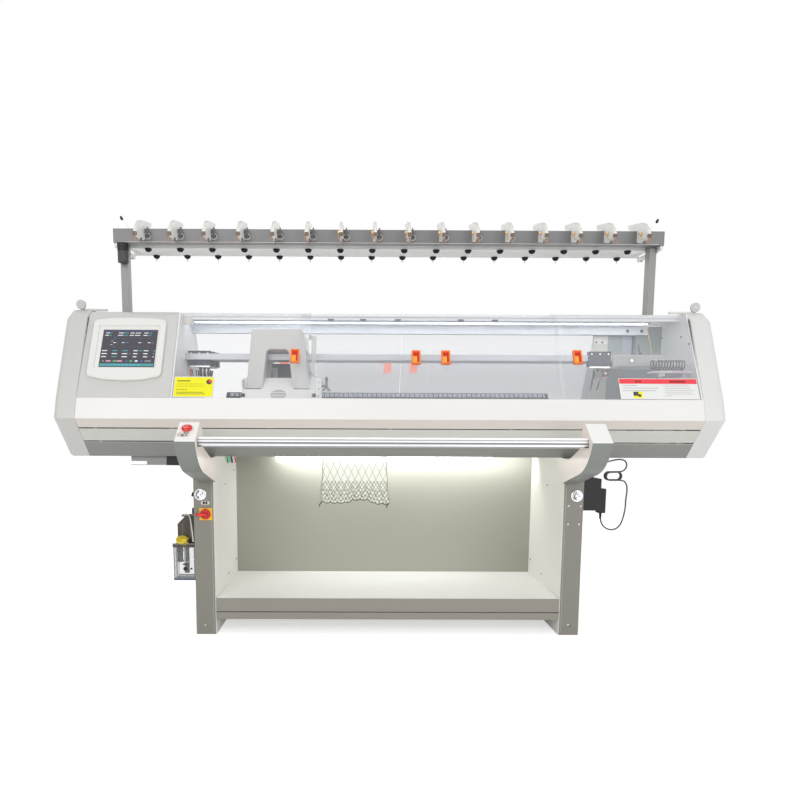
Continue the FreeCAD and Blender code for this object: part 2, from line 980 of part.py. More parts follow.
def bandOutline():
    wall = size.apronWall
    top = bandTop
    low = upperGroove
    ledge = slopeFoot + size.ledgeDepth
    return [
        (slopeFoot, top),
        (nose, noseHeight),
        (apronOuter(low), low),
        (apronOuter(low) + wall, low),
        (nose + wall, noseHeight),
        (slopeFoot + wall, top - size.ledgeThick),
        (ledge, top - size.ledgeThick),
        (ledge, top),
    ]


def stripOutline(low, high, lip):
    wall = size.apronWall
    outline = [(apronOuter(high), high), (apronOuter(low), low)]
    if lip:
        end = throat - size.castingHalfDepth - size.clearance
        outline += [(end, low), (end, low + wall), (apronOuter(low + wall) + wall, low + wall)]
    else:
        outline += [(apronOuter(low) + wall, low)]
    return outline + [(apronOuter(high) + wall, high)]


def stripBody(name, outline, backward=False):
    if backward:
        outline = flipped(outline)[::-1]
    length = (bodyHalf - size.clearance) * 2
    return place(profile(name, "YZ_Plane", outline, length), -length / 2)


middleStrip = stripOutline(lowerGroove + size.groove / 2,
                           upperGroove - size.groove, False)
bellyStrip = stripOutline(bellyHeight, lowerGroove - size.groove / 2, True)
keep(stripBody("front_band", bandOutline()), "front_band")
group("front_apron", stripBody("front_middle_strip", middleStrip), stripBody("front_belly_strip", bellyStrip))
group("rear_apron", stripBody("rear_band", bandOutline(), True),
      stripBody("rear_middle_strip", middleStrip, True), stripBody("rear_belly_strip", bellyStrip, True))


# ---- end caps ----

def capOutline(inset):
    top = deckHeight + size.capRise
    front = [
        (nose + size.bellyBack + inset * capInsetBelly, bellyHeight + inset),
        (nose + inset * capInsetFront, noseHeight),
        (slopeFoot + inset * capInsetFront, bandTop),
        (topOfSlope - size.capShoulderBack + inset * capInsetFront, deckHeight - size.capShoulderDrop),
        (topOfSlope + size.capRoofBack + inset * capInsetRoof, top - inset),
    ]
    return front + flipped(front)[::-1]


def guideBracket(name, side):
    top = deckHeight + size.capRise
    front = nose + size.guideFront + size.guideThick
    back = front + size.guideBlock
    x0 = (guideX + size.guideBlock / 2) * side
    x1 = (guideX - size.guideBlock / 2) * side
    x2 = (bodyHalf - size.guideBarReach) * side
    lows = (x0, x1, x2) if side < 0 else (x1, x0, x2)
    post = box(name + "_post", lows[0], lows[1], front, back, top, top + size.guideHeight + size.guidePin * 2)
    bar = box(name + "_bar", x1 if side < 0 else x2, x2 if side < 0 else x1, front, back, top,
              top + size.guideBarHeight)
    pin = rod(name + "_pin", "y", size.guidePin, size.guideThick + 2, guideX * side,
              front - size.guideThick, top + size.guideHeight)
    return fuse(name, post, bar, pin)


def endCap(label, side):
    outer = half * side
    start = -half if side < 0 else bodyHalf
    shell = place(profile(label + "_shell", "YZ_Plane", capOutline(asSize(0)), size.capLength), start)
    doc.recompute()
    tip = shell.Tip
    face = 0 if side < 0 else size.capLength.number
    names = ["Edge%d" % number for number, edge in enumerate(tip.Shape.Edges, start=1)
             if all(abs(vertex.Point.x - face) < 0.001 for vertex in edge.Vertexes)]
    fillet = shell.newObject("PartDesign::Fillet", label + "_round")
    fillet.Base = (tip, names)
    bind(fillet, "Radius", size.capRadius)
    inside = start + size.capWall if side < 0 else start
    room = place(profile(label + "_room", "YZ_Plane", capOutline(size.capWall * 2.2),
                         size.capLength - size.capWall), inside)
    group(label, cut(label, shell, room), guideBracket(label + "_guide", side))


endCap("left_end_cap", -1)
endCap("right_end_cap", 1)


def guideWheel(label, side):
    top = deckHeight + size.capRise
    front = nose + size.guideFront
    disc = rod(label + "_disc", "y", size.guideRadius, size.guideThick - size.clearance, guideX * side,
               front, top + size.guideHeight)
    bore = rod(label + "_bore", "y", size.guidePin + size.fit, size.guideThick, guideX * side,
               front, top + size.guideHeight)
    keep(cut(label, disc, bore), label)


guideWheel("left_guide_wheel", -1)
guideWheel("right_guide_wheel", 1)


# ---- control housing and screen ----

def archOutline(inset, wall, drop, end):
    # one side of a bent sheet: up the slope, round the corner and along the roof
    top = deckHeight - drop
    low = frameFoot
    offset = inset + wall / cosine(slopeLean)
    return [
        (slopeLine(inset, low), low),
        (slopeLine(offset, low), low),
        (slopeLine(offset, top - wall), top - wall),
        (end, top - wall),
        (end, top),
        (slopeLine(inset, top), top),
    ]


def controlPanel():
    wall = size.shellWall
    one = archOutline(asSize(0), wall, asSize(0), throat)
    inner = one[1:3]
    outer = [one[5], one[0]]
    outline = inner + flipped(inner)[::-1] + flipped([one[0], one[5]]) + outer
    length = bodyHalf - size.leftFrameX - size.clearance * 2
    body = place(profile("panel_sheet", "YZ_Plane", outline, length), -bodyHalf + size.clearance)
    rounded(body, "x", size.roofRadius, one[5], flipped([one[5]])[0])
    rounded(body, "x", size.roofRadius - wall, one[2], flipped([one[2]])[0])
    return body


def onSlope(item):
    # stands a piece that was drawn upright onto the foot of the front slope
    turned(item, (1, 0, 0), -slopeLean)
    return place(item, 0, slopeFoot, bandTop)


def upright(name, outline, length, outward=True):
    return profile(name, "XZ_Plane", outline, length, reverse=not outward)


def rectangle(x0, x1, z0, z1):
    return [(x0, z0), (x1, z0), (x1, z1), (x0, z1)]


bezelX0 = size.bezelLeftInset - bodyHalf
bezelX1 = -size.leftFrameX - size.bezelRightInset
rimX0 = bezelX0 + size.bezelRimWidth
rimX1 = bezelX1 - size.bezelRimWidth
rimZ0 = size.bezelFoot + size.bezelRimFoot
rimZ1 = size.bezelHead - size.bezelRimHead
windowX0 = rimX0 + size.lipWidth
windowX1 = rimX1 - size.lipWidth / 2
windowZ0 = rimZ0 + size.lipFoot
windowZ1 = rimZ1 - size.lipWidth


def screenBezel():
    middle = (bezelX0 + bezelX1) / 2
    spread = (bezelX1 - bezelX0) / 4
    outline = [
        (bezelX0, size.bezelFoot),
        (middle - spread, size.bezelFoot - size.bezelBulge * 0.8),
        (middle, size.bezelFoot - size.bezelBulge),
        (middle + spread, size.bezelFoot - size.bezelBulge * 0.8),
        (bezelX1, size.bezelFoot),
        (bezelX1, size.bezelHead),
        (middle + spread, size.bezelHead + size.bezelArch * 0.8),
        (middle, size.bezelHead + size.bezelArch),
        (middle - spread, size.bezelHead + size.bezelArch * 0.8),
        (bezelX0, size.bezelHead),
    ]
    plate = upright("bezel_plate", outline, size.bezelThick)
    rounded(plate, "y", size.bezelRadius, outline[0], outline[4], outline[5], outline[9])
    rim = rectangle(rimX0, rimX1, rimZ0, rimZ1)
    room = upright("bezel_room", rim, size.bezelThick)
    place(room, 0, -(size.bezelThick - size.bezelPocket))
    window = upright("bezel_window", rectangle(windowX0, windowX1, windowZ0, windowZ1), size.bezelThick)
    return onSlope(cut("screen_bezel", plate, room, window))


keep(controlPanel(), "control_panel")
keep(screenBezel(), "screen_bezel")
edge = size.clearance
screen = upright("touch_screen_plate", rectangle(windowX0 + edge, windowX1 - edge, windowZ0 + edge,
                                                 windowZ1 - edge), size.screenThick)
keep(onSlope(screen), "touch_screen")


# ---- clear sliding covers ----

def pullCup(name, x, inset, backward):
    # an open cup on a cover's outer face, drawn upright and stood onto the slope
    face = inset * cosine(slopeLean)
    wide = size.pullWidth / 2
    plate = upright(name + "_plate", rectangle(x - wide, x + wide, size.pullRise,
                                               size.pullRise + size.pullLength), size.pullDepth)
    place(plate, 0, face)
    rim = size.pullRim
    room = upright(name + "_room", rectangle(x - wide + rim, x + wide - rim, size.pullRise + rim,
                                             size.pullRise + size.pullLength - rim), size.pullPocket)
    place(room, 0, face - (size.pullDepth - size.pullPocket))
    cup = onSlope(cut(name, plate, room))
    if backward:
        cup = mirrored(name + "_back", cup, (0, 1, 0), (0, throat, 0))
    return cup


def slidingCover(label, x0, x1, pulls, inner=False, backward=False):
    inset, drop = (size.innerTrack, size.innerDrop) if inner else (size.outerTrack, asSize(0))
    outline = archOutline(inset, size.coverWall, drop, nose + size.coverEnd)
    corners = outline[5], outline[2]
    if backward:
        outline = flipped(outline)[::-1]
        corners = flipped(corners)
    sheetBody = place(profile(label + "_sheet", "YZ_Plane", outline, x1 - x0), x0)
    rounded(sheetBody, "x", size.roofRadius, corners[0])
    rounded(sheetBody, "x", size.coverInnerRadius, corners[1])
    cups = [pullCup("%s_pull%d" % (label, number), x, inset, backward) for number, x in enumerate(pulls)]
    group(label, sheetBody, *cups)


pullAt = size.pullInset
coverLeft = size.coverPlay - size.leftFrameX
coverRight = rightFrameX - size.coverGap
slidingCover("front_cover_1", coverLeft, -size.firstCoverRight, [-size.firstCoverRight - pullAt])
slidingCover("front_cover_2", -size.secondCoverLeft, size.coverMeeting - size.coverGap,
             [size.coverMeeting - pullAt], inner=True)
slidingCover("front_cover_3", size.coverMeeting + size.coverGap, size.thirdCoverRight,
             [size.coverMeeting + pullAt], inner=True)
slidingCover("front_cover_4", size.fourthCoverLeft, coverRight,
             [size.fourthCoverLeft + pullAt + size.pullWidth / 2])
slidingCover("rear_cover_1", coverLeft, -size.rearFirstRight, [-size.rearFirstRight - pullAt], backward=True)
slidingCover("rear_cover_2", -size.rearSecondLeft, size.rearCoverMeeting - size.coverGap,
             [size.rearCoverMeeting - pullAt], inner=True, backward=True)
slidingCover("rear_cover_3", size.rearCoverMeeting + size.coverGap, size.rearThirdRight,
             [size.rearCoverMeeting + pullAt], inner=True, backward=True)
slidingCover("rear_cover_4", size.rearFourthLeft, coverRight, [size.rearFourthLeft + pullAt], backward=True)


# ---- carriage ----

def camInner(y):
    return bedTop + size.camFloat - (throatFront - y)


def camOuter(y):
    return bedTop + size.camRise - (throatFront - y)


def camDepth(z):
    # depth of the cam box's sloping face at a height
    return z - bedTop - size.camRise + throatFront


camAcross = (size.camRise - size.camFloat) / 2


def camOutline():
    low, high = camFoot, camTop
    return [
        (camDepth(low), low),
        (camDepth(low) + camAcross, low - camAcross),
        (camDepth(high) + camAcross, high - camAcross),
        (camDepth(high), high),
    ]


def bridgeOutline():
    foot = throat - size.bridgeFootReach
    inner = throat - size.bridgeInnerReach
    front = [
        (inner, bridgeRoof),
        (inner, camTop),
        (camDepth(camTop), camTop),
        (foot, camOuter(foot)),
        (throat - size.bridgeTopReach, bridgeHeight),
    ]
    return front + flipped(front)[::-1]


def carriageBridge():
    side = place(profile("bridge_side", "YZ_Plane", bridgeOutline(), size.bridgeFoot),
                 size.carriageX - size.bridgeFoot / 2)
    low = camFoot
    foot, top = size.bridgeFoot / 2, size.bridgeTop / 2
    archFoot, archTop = size.archFoot / 2, size.archTop / 2
    outline = [
        (-foot, low),
        (-archFoot, low),
        (-archTop, archHeight),
        (archTop, archHeight),
        (archFoot, low),
        (foot, low),
        (top, bridgeHeight),
        (-top, bridgeHeight),
    ]
    front = upright("bridge_front", outline, size.bridgeFootReach * 2 + 2)
    rounded(front, "y", size.archRadius, outline[2], outline[3], outline[6], outline[7])
    place(front, size.carriageX, throat + size.bridgeFootReach + 1)
    return common("carriage_bridge", side, front)


def carriageCovers():
    left = size.carriageX + size.camShift - size.camLength / 2
    front = place(profile("front_cam_box", "YZ_Plane", camOutline(), size.camLength), left)
    back = place(profile("rear_cam_box", "YZ_Plane", flipped(camOutline())[::-1], size.camLength), left)
    beltTop = pulleyHeight + size.pulleyRadius + size.fit + size.beltThick + size.clearance
    clamp = box("belt_clamp", size.carriageX - size.clampWidth / 2, size.carriageX + size.clampWidth / 2,
                nose + size.pulleyFront, nose + size.pulleyFront + size.pulleyWidth, beltTop,
                camFoot - camAcross / 2)
    knobs = []
    for number, side in enumerate((-1, 1)):
        x = size.carriageX + size.camShift + (size.camLength / 2 - size.knobRadius) * side
        z = camFoot + size.knobRadius * 2
        knob = rod("cam_knob%d" % number, "z", size.knobRadius, size.knobHeight, x, camDepth(z), z)
        knob.Placement.Rotation = FreeCAD.Rotation(FreeCAD.Vector(1, 0, 0), 45)
        knobs.append(knob)
    group("carriage_covers", front, fuse("rear_cam", back, clamp), *knobs)


keep(carriageBridge(), "carriage_bridge")
carriageCovers()


# ---- drive belt ----

def pulley(label, side):
    front = nose + size.pulleyFront
    disc = rod(label + "_disc", "y", size.pulleyRadius, size.pulleyWidth, pulleyX * side, front,
               pulleyHeight)
    bore = rod(label + "_bore", "y", size.pulleyPin + size.fit, size.pulleyWidth, pulleyX * side,
               front, pulleyHeight)
    keep(cut(label, disc, bore), label)


def beltLoop(name, radius):
    front = nose + size.pulleyFront
    straight = box(name + "_straight", -pulleyX, pulleyX, front, front + size.pulleyWidth,
                   pulleyHeight - radius, pulleyHeight + radius)
    ends = [rod("%s_end%d" % (name, number), "y", radius, size.pulleyWidth, pulleyX * side, front,
                pulleyHeight) for number, side in enumerate((-1, 1))]
    return fuse(name, straight, *ends)


pulley("drive_pulley", -1)
pulley("idler_pulley", 1)
beltInner = size.pulleyRadius + size.fit
keep(cut("drive_belt", beltLoop("belt_outer", beltInner + size.beltThick), beltLoop("belt_inner", beltInner)),
     "drive_belt")


# ---- take-down rollers ----

def takeDownRoller(label, side):
    y = throat + (size.rollerRadius + size.rollerGap / 2) * side
    roll = rod(label + "_roll", "x", size.rollerRadius, size.rollerHalf * 2, -size.rollerHalf, y,
               rollerHeight)
    reach = size.rollerHalf + size.fit * 4 + size.rollerPlate
    shaft = rod(label + "_shaft", "x", size.rollerShaft, reach * 2, -reach, y, rollerHeight)
    keep(fuse(label, roll, shaft), label)


takeDownRoller("front_take_down_roller", -1)
takeDownRoller("rear_take_down_roller", 1)


# ---- yarn carriers ----

def yarnCarrier(label, x0, railNumber):
    y = railDepths[railNumber]
    x1 = x0 + size.carrierLength
    block = box(label + "_block", x0, x1, y - size.carrierWidth / 2, y + size.carrierWidth / 2,
                carrierBottom, carrierTop)
    free = size.fit * 2
    channel = box(label + "_channel", x0, x1, y - size.railThick / 2 - free, y + size.railThick / 2 + free,
                  railBottom - free, railTop + free)
    tip = throat + size.tipPitch * (railNumber - (size.railCount.number - 1) / 2)
    thick = size.armThick / 2
    outline = [
        (tip - thick, tipHeight),
        (tip + thick, tipHeight),
        (y + size.armThick, carrierBottom),
        (y - size.armThick, carrierBottom),
    ]
    arm = place(profile(label + "_arm", "YZ_Plane", outline, size.armWide),
                (x0 + x1) / 2 - size.armWide / 2)
    keep(fuse(label, cut(label, block, channel), arm), label)


carrierLeft = size.carrierPlay - size.leftFrameX
yarnCarrier("yarn_carrier_1", railRight - size.carrierLength - size.carrierStep, 0)
for number in range(3):
    yarnCarrier("yarn_carrier_%d" % (number + 2), carrierLeft + size.carrierStep * number, number + 1)


# ---- arms and operating bar ----

def armOutline():
    trim = size.armCoverThick
    return [
        (nose - size.armReach, ridgeHeight - trim),
        (nose - size.armChin, armChinHeight),
        (standFront, armFootHeight),
        (standFront, bellyHeight - size.clearance * 2),
        (nose + size.armKnee, bellyHeight - size.clearance * 2),
        (nose - size.armWaist, armWaistHeight),
        (nose - size.armBackTop, armBackHeight),
        (nose - size.armTopFront, armTop - trim),
    ]


def faceFacing(shape, direction):
    # name of the flat face that looks along a direction
    for number, face in enumerate(shape.Faces, start=1):
        normal = face.normalAt(0, 0)
        if face.Surface.TypeId == "Part::GeomPlane" and normal.isEqual(FreeCAD.Vector(*direction), 0.001):
            return "Face%d" % number
    raise RuntimeError("no face")


def armCase(name, x0):
    outline = armOutline()
    body = place(profile(name + "_solid", "YZ_Plane", outline, size.armWidth), x0)
    rounded(body, "x", size.armCurve, outline[1])
    doc.recompute()
    case = doc.addObject("Part::Thickness", name)
    case.Faces = (body, [faceFacing(body.Shape, (0, 1, 0))])
    bind(case, "Value", -size.armWall)
    case.Join = 2
    return case


def armCover(name, x0):
    trim = size.armCoverThick
    outline = [
        (nose - size.armReach, ridgeHeight),
        (nose - size.armReach, ridgeHeight - trim),
        (nose - size.armTopFront, armTop - trim),
        (nose - size.armTopFront, armTop),
    ]
    return place(profile(name, "YZ_Plane", outline, size.armWidth), x0)


topRise = (armTop - ridgeHeight) / (size.armReach - size.armTopFront)
stopLean = Size(math.degrees(math.atan(topRise.number)), "(atan(%s) / 1deg)" % topRise.formula)
stopX = -size.armInner - size.armWidth / 2
stopBaseY = nose - size.armReach + (size.armReach - size.armTopFront) * size.stopShare
stopBaseZ = ridgeHeight + (armTop - ridgeHeight) * size.stopShare


def onStop(item, height):
    # stands a round piece on the arm's sloping top, a height above it
    turned(item, (1, 0, 0), stopLean)
    return place(item, stopX, stopBaseY - sine(stopLean) * height, stopBaseZ + cosine(stopLean) * height)


def stopRod(name, radius, low, length):
    return onStop(rod(name, "z", radius, length, 0, 0, 0), low)


def ball(name, radius, x, y, z):
    item = doc.addObject("Part::Sphere", name)
    bind(item, "Radius", radius)
    return place(item, x, y, z)


stopDeep = (size.armWall + size.armCoverThick) * 2
stopStemBore = stopRod("stop_bore", size.stopStem + size.fit, -stopDeep, stopDeep + size.stopCollarHeight)
armLeft = -size.armInner - size.armWidth
barFront = nose - size.barReach - size.barDeep / 2
barFree = size.barPin + size.fit
pinStart = size.armInner - size.armWall
leftPinBore = rod("left_pin_bore", "x", barFree, size.armWall * 3, -pinStart - size.armWall * 3,
                  nose - size.barReach, barHeight)
rightPinBore = rod("right_pin_bore", "x", barFree, size.armWall * 3, pinStart, nose - size.barReach,
                   barHeight)
group("bar_arms",
      cut("left_arm", armCase("left_arm_case", armLeft), leftPinBore, stopStemBore),
      cut("left_arm_cover", armCover("left_cover_plate", armLeft), stopStemBore),
      cut("stop_collar", stopRod("stop_ring", size.stopCollarRadius, 0, size.stopCollarHeight), stopStemBore),
      cut("right_arm", armCase("right_arm_case", size.armInner), rightPinBore),
      armCover("right_cover_plate", size.armInner))

headLow = size.stopCollarHeight + size.stopTravel + size.clearance
stopHead = stopRod("stop_head", size.stopHeadRadius, headLow, size.stopHeadHeight)
domeRadius = size.stopHeadRadius * 1.3
stopDome = onStop(ball("stop_dome", domeRadius, 0, 0, 0), headLow + size.stopHeadHeight - domeRadius)
stemLow = -size.armWall - size.armCoverThick
keep(fuse("emergency_button", common("stop_mushroom", stopHead, stopDome),
          stopRod("stop_stem", size.stopStem, stemLow, headLow - stemLow)), "emergency_button")


def barOutline():
    front = barFront
    back = barFront + size.barDeep
    low = barHeight - size.barTall / 2
    high = barHeight + size.barTall / 2
    deep = size.barGroove
    step = size.barGroove / 2
    outline = [(front, low), (back, low)]
    middle = barHeight
    outline += [(back, middle - step), (back - deep, middle - step), (back - deep, middle + step),
                (back, middle + step), (back, high), (front, high)]
    for middle in (barHeight + size.barTall / 4, barHeight - size.barTall / 4):
        outline += [(front, middle + step), (front + deep, middle + step), (front + deep, middle - step),
                    (front, middle - step)]
    return outline


def operatingBar():
    barEnd = size.armInner - size.barGap
    rail = place(profile("bar_rail", "YZ_Plane", barOutline(), barEnd * 2), -barEnd)
    pins = rod("bar_pins", "x", size.barPin, (barEnd + size.barPinLength) * 2, -barEnd - size.barPinLength,
               nose - size.barReach, barHeight)
    return fuse("operating_bar", rail, pins)


keep(operatingBar(), "operating_bar")


# ---- switch and latches on the legs ----

def switchHandle():
    front = nose + size.legFront - size.switchPlateThick - size.fit - size.switchDiscThick
    disc = rod("switch_disc", "y", size.switchDisc, size.switchDiscThick, -size.switchX, front,
               switchHeight)
    stemLength = size.switchDiscThick + size.switchPlateThick + size.legWall
    stem = rod("switch_stem", "y", size.switchStem, stemLength, -size.switchX, front, switchHeight)
    wide = size.switchGripWidth / 2
    grip = box("switch_grip", -size.switchX - size.switchGripLength, -size.switchX + size.switchDisc / 2,
               front - size.switchGripHeight, front, switchHeight - wide, switchHeight + wide)
    return fuse("switch_handle", disc, stem, grip)


def latch(label, x):
    radius = size.latchRadius - size.latchRing - size.fit
    front = nose + size.legFront - size.latchDeep
    disc = rod(label + "_disc", "y", radius, size.latchDeep - size.fit, x, front, latchHeight)
    wide = size.latchGripWidth / 2
    reach = radius - size.latchRing / 2
    grip = box(label + "_grip", x - reach, x + reach, front - size.latchGripHeight, front,
               latchHeight - wide, latchHeight + wide)
    return keep(fuse(label, disc, grip), label)


keep(switchHandle(), "switch_handle")
latch("left_latch", -size.latchX)
latch("right_latch", size.latchX)


# ---- yarn stand ----

def standPost(name, side):
    across = size.postWidth / 2
    centre = postX * side
    post = box(name + "_post", centre - across, centre + across, nose + size.postFront,
               nose + size.postFront + size.postDepth, deckHeight, postTop)
    outer = centre + across * side
    inner = outer - size.postGrooveDepth * side
    middle = nose + size.postFront + size.postDepth / 2
    low, high = (outer, inner) if side < 0 else (inner, outer)
    groove = box(name + "_groove", low, high, middle - size.postGroove / 2, middle + size.postGroove / 2,
                 deckHeight, postTop)
    return cut(name, post, groove)


coneBarFront = nose + size.postFront + size.postDepth
rearBarFront = nose + size.rearConeBarFront
coneBarTop = coneBarBottom + size.coneBarHeight
yarnBeamFront = nose + size.postFront - size.yarnBeamDepth
yarnBeamTop = yarnBeamBottom + size.yarnBeamHeight


def coneBar(name, front):
    return box(name, -coneBarHalf, coneBarHalf, front, front + size.coneBarDepth,
               coneBarBottom, coneBarTop)


def standBracket(name, side):
    outer = (coneBarHalf - size.standBracketWidth) * side
    inner = outer - size.standBracketWidth * side
    low, high = (outer, inner) if side < 0 else (inner, outer)
    return box(name, low, high, coneBarFront + size.coneBarDepth, rearBarFront,
               coneBarBottom, coneBarBottom + size.standBracketHeight)


group("yarn_stand", standPost("left_post", -1), standPost("right_post", 1),
      box("yarn_beam", -yarnBeamHalf, yarnBeamHalf, yarnBeamFront, nose + size.postFront,
          yarnBeamBottom, yarnBeamTop),
      coneBar("front_cone_bar", coneBarFront), coneBar("rear_cone_bar", rearBarFront),
      standBracket("left_stand_bracket", -1), standBracket("right_stand_bracket", 1))


unitPitch = (postX - size.unitInset) * 2 / (size.unitCount - 1)


def unitX(number):
    return unitPitch * (number - (size.unitCount.number - 1) / 2)


def tensionFin(name, x):
    # a curved plate that sits over the beam's top front edge and reaches forward
    tip = yarnBeamFront - size.finReach
    low = yarnBeamBottom + size.finTipRise
    back = nose + size.postFront
    end = back + size.finBack
    top = yarnBeamTop + size.finRise
    outline = [
        (tip, low),
        (tip, low + size.finTip),
        (yarnBeamFront - size.finBrow, yarnBeamTop),
        (yarnBeamFront - size.finCrown, yarnBeamTop + size.finCrownRise),
        (end, top),
        (end, top - size.finTail),
        (back, yarnBeamTop),
        (yarnBeamFront, yarnBeamTop),
        (yarnBeamFront, low + size.finTip / 2),
        (yarnBeamFront - size.finChin, low),
    ]
    fin = place(profile(name, "YZ_Plane", outline[::-1], size.finWidth), x - size.finWidth / 2)
    return rounded(fin, "x", size.finRound, outline[2], outline[3])


def tensionDisc(name, x):
    middle = x + size.unitDiscShift
    disc = rod(name + "_plate", "y", size.unitDiscRadius, size.unitDiscThick, middle,
               yarnBeamFront - size.unitDiscThick, unitDiscHeight)
    knob = rod(name + "_knob", "y", size.unitPin, size.unitDiscThick, middle,
               yarnBeamFront - size.unitDiscThick * 2, unitDiscHeight)
    return fuse(name, disc, knob)


def coneDome(name, x, y):
    dome = ball(name, size.coneRadius, x, y, coneBarBottom)
    dome.Angle2 = 0
    return dome


units = range(int(size.unitCount.number))
fins = [tensionFin("tension_fin%d" % number, unitX(number) + size.unitShift) for number in units]
discs = [tensionDisc("tension_disc%d" % number, unitX(number) + size.unitShift) for number in units]
group("tension_units", *fins, *discs)
domeRows = (coneBarFront + size.coneBarDepth / 2, rearBarFront + size.coneBarDepth / 2)
group("cone_pins", *[coneDome("dome%d_%d" % (row, number), unitX(number), y)
                      for row, y in enumerate(domeRows) for number in units])
keep(rod("alarm_lamp", "z", size.lampTubeRadius, size.lampTubeHeight, -lampTubeX,
         nose + size.postFront - size.lampTubeRadius - size.alarmGap,
         yarnBeamBottom - size.lampTubeHeight), "alarm_lamp")


# ---- oil pump on the left leg ----

legOuter = size.legInner + size.legWidth


def oilPump():
    right = -legOuter - size.clearance
    left = right - size.pumpWidth
    front = nose + size.pumpFront
    back = front + size.pumpDepth
    houseTop = size.legTop - size.pumpHouseDrop
    tankBottom = houseTop - size.tankBase
    tankTop = tankBottom + size.tankHeight
    lidTop = tankTop + size.lidThick
    inset, wall = size.tankInset, size.tankWall
    tank = box("tank_case", left + inset, right - inset, front + inset, back - inset, tankBottom, tankTop)
    room = box("tank_room", left + inset + wall, right - inset - wall, front + inset + wall,
               back - inset - wall, tankBottom + wall, tankTop)
    keep(cut("oil_tank", tank, room), "oil_tank")
    lid = box("tank_lid", left, right, front, back, tankTop, lidTop)
    tube = rod("pump_tube", "z", size.pumpTube, size.pumpTubeLength, (left + right) / 2, (front + back) / 2,
               tankTop - size.pumpTubeLength)
    houseLeft = right - size.pumpHouseWidth
    slant = size.pumpHouseSlant
    outline = [
        (houseLeft, lidTop),
        (right, lidTop),
        (right, houseTop),
        (houseLeft + slant, houseTop),
        (houseLeft, houseTop - slant),
    ]
    house = place(upright("pump_house", outline, size.pumpHouseDepth), 0, back)
    cap = rod("filler_cap", "z", size.fillerRadius, size.fillerHeight, (left + right) / 2,
              front + size.fillerRadius, lidTop)
    group("oil_pump", lid, tube, house, cap)


oilPump()


# ---- boxes under the body and on the right leg ----

def driveBox():
    low, high = size.driveBoxLow, size.driveBoxHigh
    under = size.legTop
    right = -legOuter - size.driveBoxGap
    step = right - size.driveBoxStep
    left = right - size.driveBoxLong
    outline = [
        (left, under),
        (left, under - low),
        (step, under - low),
        (step, under - high),
        (right, under - high),
        (right, under),
    ]
    return place(upright("drive_box", outline, size.driveBoxDeep), 0,
                 nose + size.driveBoxFront + size.driveBoxDeep)


keep(driveBox(), "drive_box")
powerLeft = legOuter + size.clearance
powerRight = powerLeft + size.powerWidth
powerBottom = size.legTop - size.powerDrop
plugBottom = powerBottom - size.plugDrop
group("power_box",
      box("power_case", powerLeft, powerRight, nose + size.powerFront,
          nose + size.powerFront + size.powerDepth, powerBottom, powerBottom + size.powerHeight),
      box("mains_connector", powerRight, powerRight + size.plugWidth, nose + size.plugFront,
          nose + size.plugFront + size.plugDepth, plugBottom, plugBottom + size.plugHeight))


# ---- screws ----

def panelScrews():
    # depths behind the nose and heights on the bay's side panels
    panelSpots = ((539, 671), (325, 623), (565, 229), (370, 202))
    # sideways places and heights on the legs' front faces
    legSpots = ((754, 557), (803, 557), (754, 480), (803, 480), (778, 40), (-778, 40))
    heads = []
    for number, (y, z) in enumerate(panelSpots):
        for side, start in ((-1, -bayHalf), (1, bayHalf - size.screwHeight)):
            heads.append(rod("panel_screw%d_%d" % (number, side + 1), "x", size.screwRadius,
                             size.screwHeight, start, nose + y, z))
    for number, (x, z) in enumerate(legSpots):
        heads.append(rod("leg_screw%d" % number, "y", size.screwRadius, size.screwHeight, x,
                         standFront - size.screwHeight, z))
    group("panel_screws", *heads)


panelScrews()


# ---- tubes along a path ----

def vector(point):
    return FreeCAD.Vector(*[asSize(value).number for value in point])


def roundedPath(points):
    # straight runs joined by tangent arcs; gives the edges and the arcs' radii
    spots = [vector(point) for point in points]
    edges, radii = [], []
    start = spots[0]
    for before, corner, after in zip(spots, spots[1:], spots[2:]):
        into = (corner - before).normalize()
        out = (after - corner).normalize()
        halfTurn = into.getAngle(out) / 2
        setback = bendShare * min(corner.distanceToPoint(before), corner.distanceToPoint(after))
        radii.append(setback / math.tan(halfTurn))
        arcStart = corner - into * setback
        arcEnd = corner + out * setback
        inward = (out - into).normalize()
        middle = corner + inward * (radii[-1] / math.cos(halfTurn) - radii[-1])
        edges.append(Part.LineSegment(start, arcStart).toShape())
        edges.append(Part.Arc(arcStart, middle, arcEnd).toShape())
        start = arcEnd
    edges.append(Part.LineSegment(start, spots[-1]).toShape())
    return edges, radii


def tubeAlong(name, edges, radius):
    # one unbroken round tube, with its volume set against section times length
    path = Part.Wire(edges)
    start = edges[0].valueAt(edges[0].FirstParameter)
    along = edges[0].tangentAt(edges[0].FirstParameter)
    section = Part.Wire([Part.Circle(start, along, radius).toShape()])
    tube = path.makePipeShell([section], True, False)
    share = tube.Volume / (math.pi * radius ** 2 * path.Length)
    print("%s length %.0f volume share %.4f" % (name, path.Length, share))
    return tube


def leastGap(path, diameter, reach):
    # least gap of a wound tube to itself, measured on points along its middle line
    steps = int(path.Length / gapStep)
    points = path.discretize(steps + 1)
    apart = int(reach / gapStep)
    return min(points[a].distanceToPoint(points[b])
               for a in range(steps) for b in range(a + apart, steps)) - diameter


def biarc(start, startWay, end, endWay):
    # two arcs that leave one point and reach another along given directions
    across = end - start
    ways = startWay + endWay
    spread = 2 * (1 - startWay.dot(endWay))
    if spread < 1e-9:
        reach = across.Length ** 2 / (4 * across.dot(endWay))
    else:
        lead = across.dot(ways)
        reach = (math.sqrt(lead ** 2 + spread * across.Length ** 2) - lead) / spread
    join = (start + end + (startWay - endWay) * reach) / 2
    first = arcFrom(start, startWay, join)
    joinWay = first.tangentAt(first.LastParameter)
    return [first, arcFrom(join, joinWay, end)]


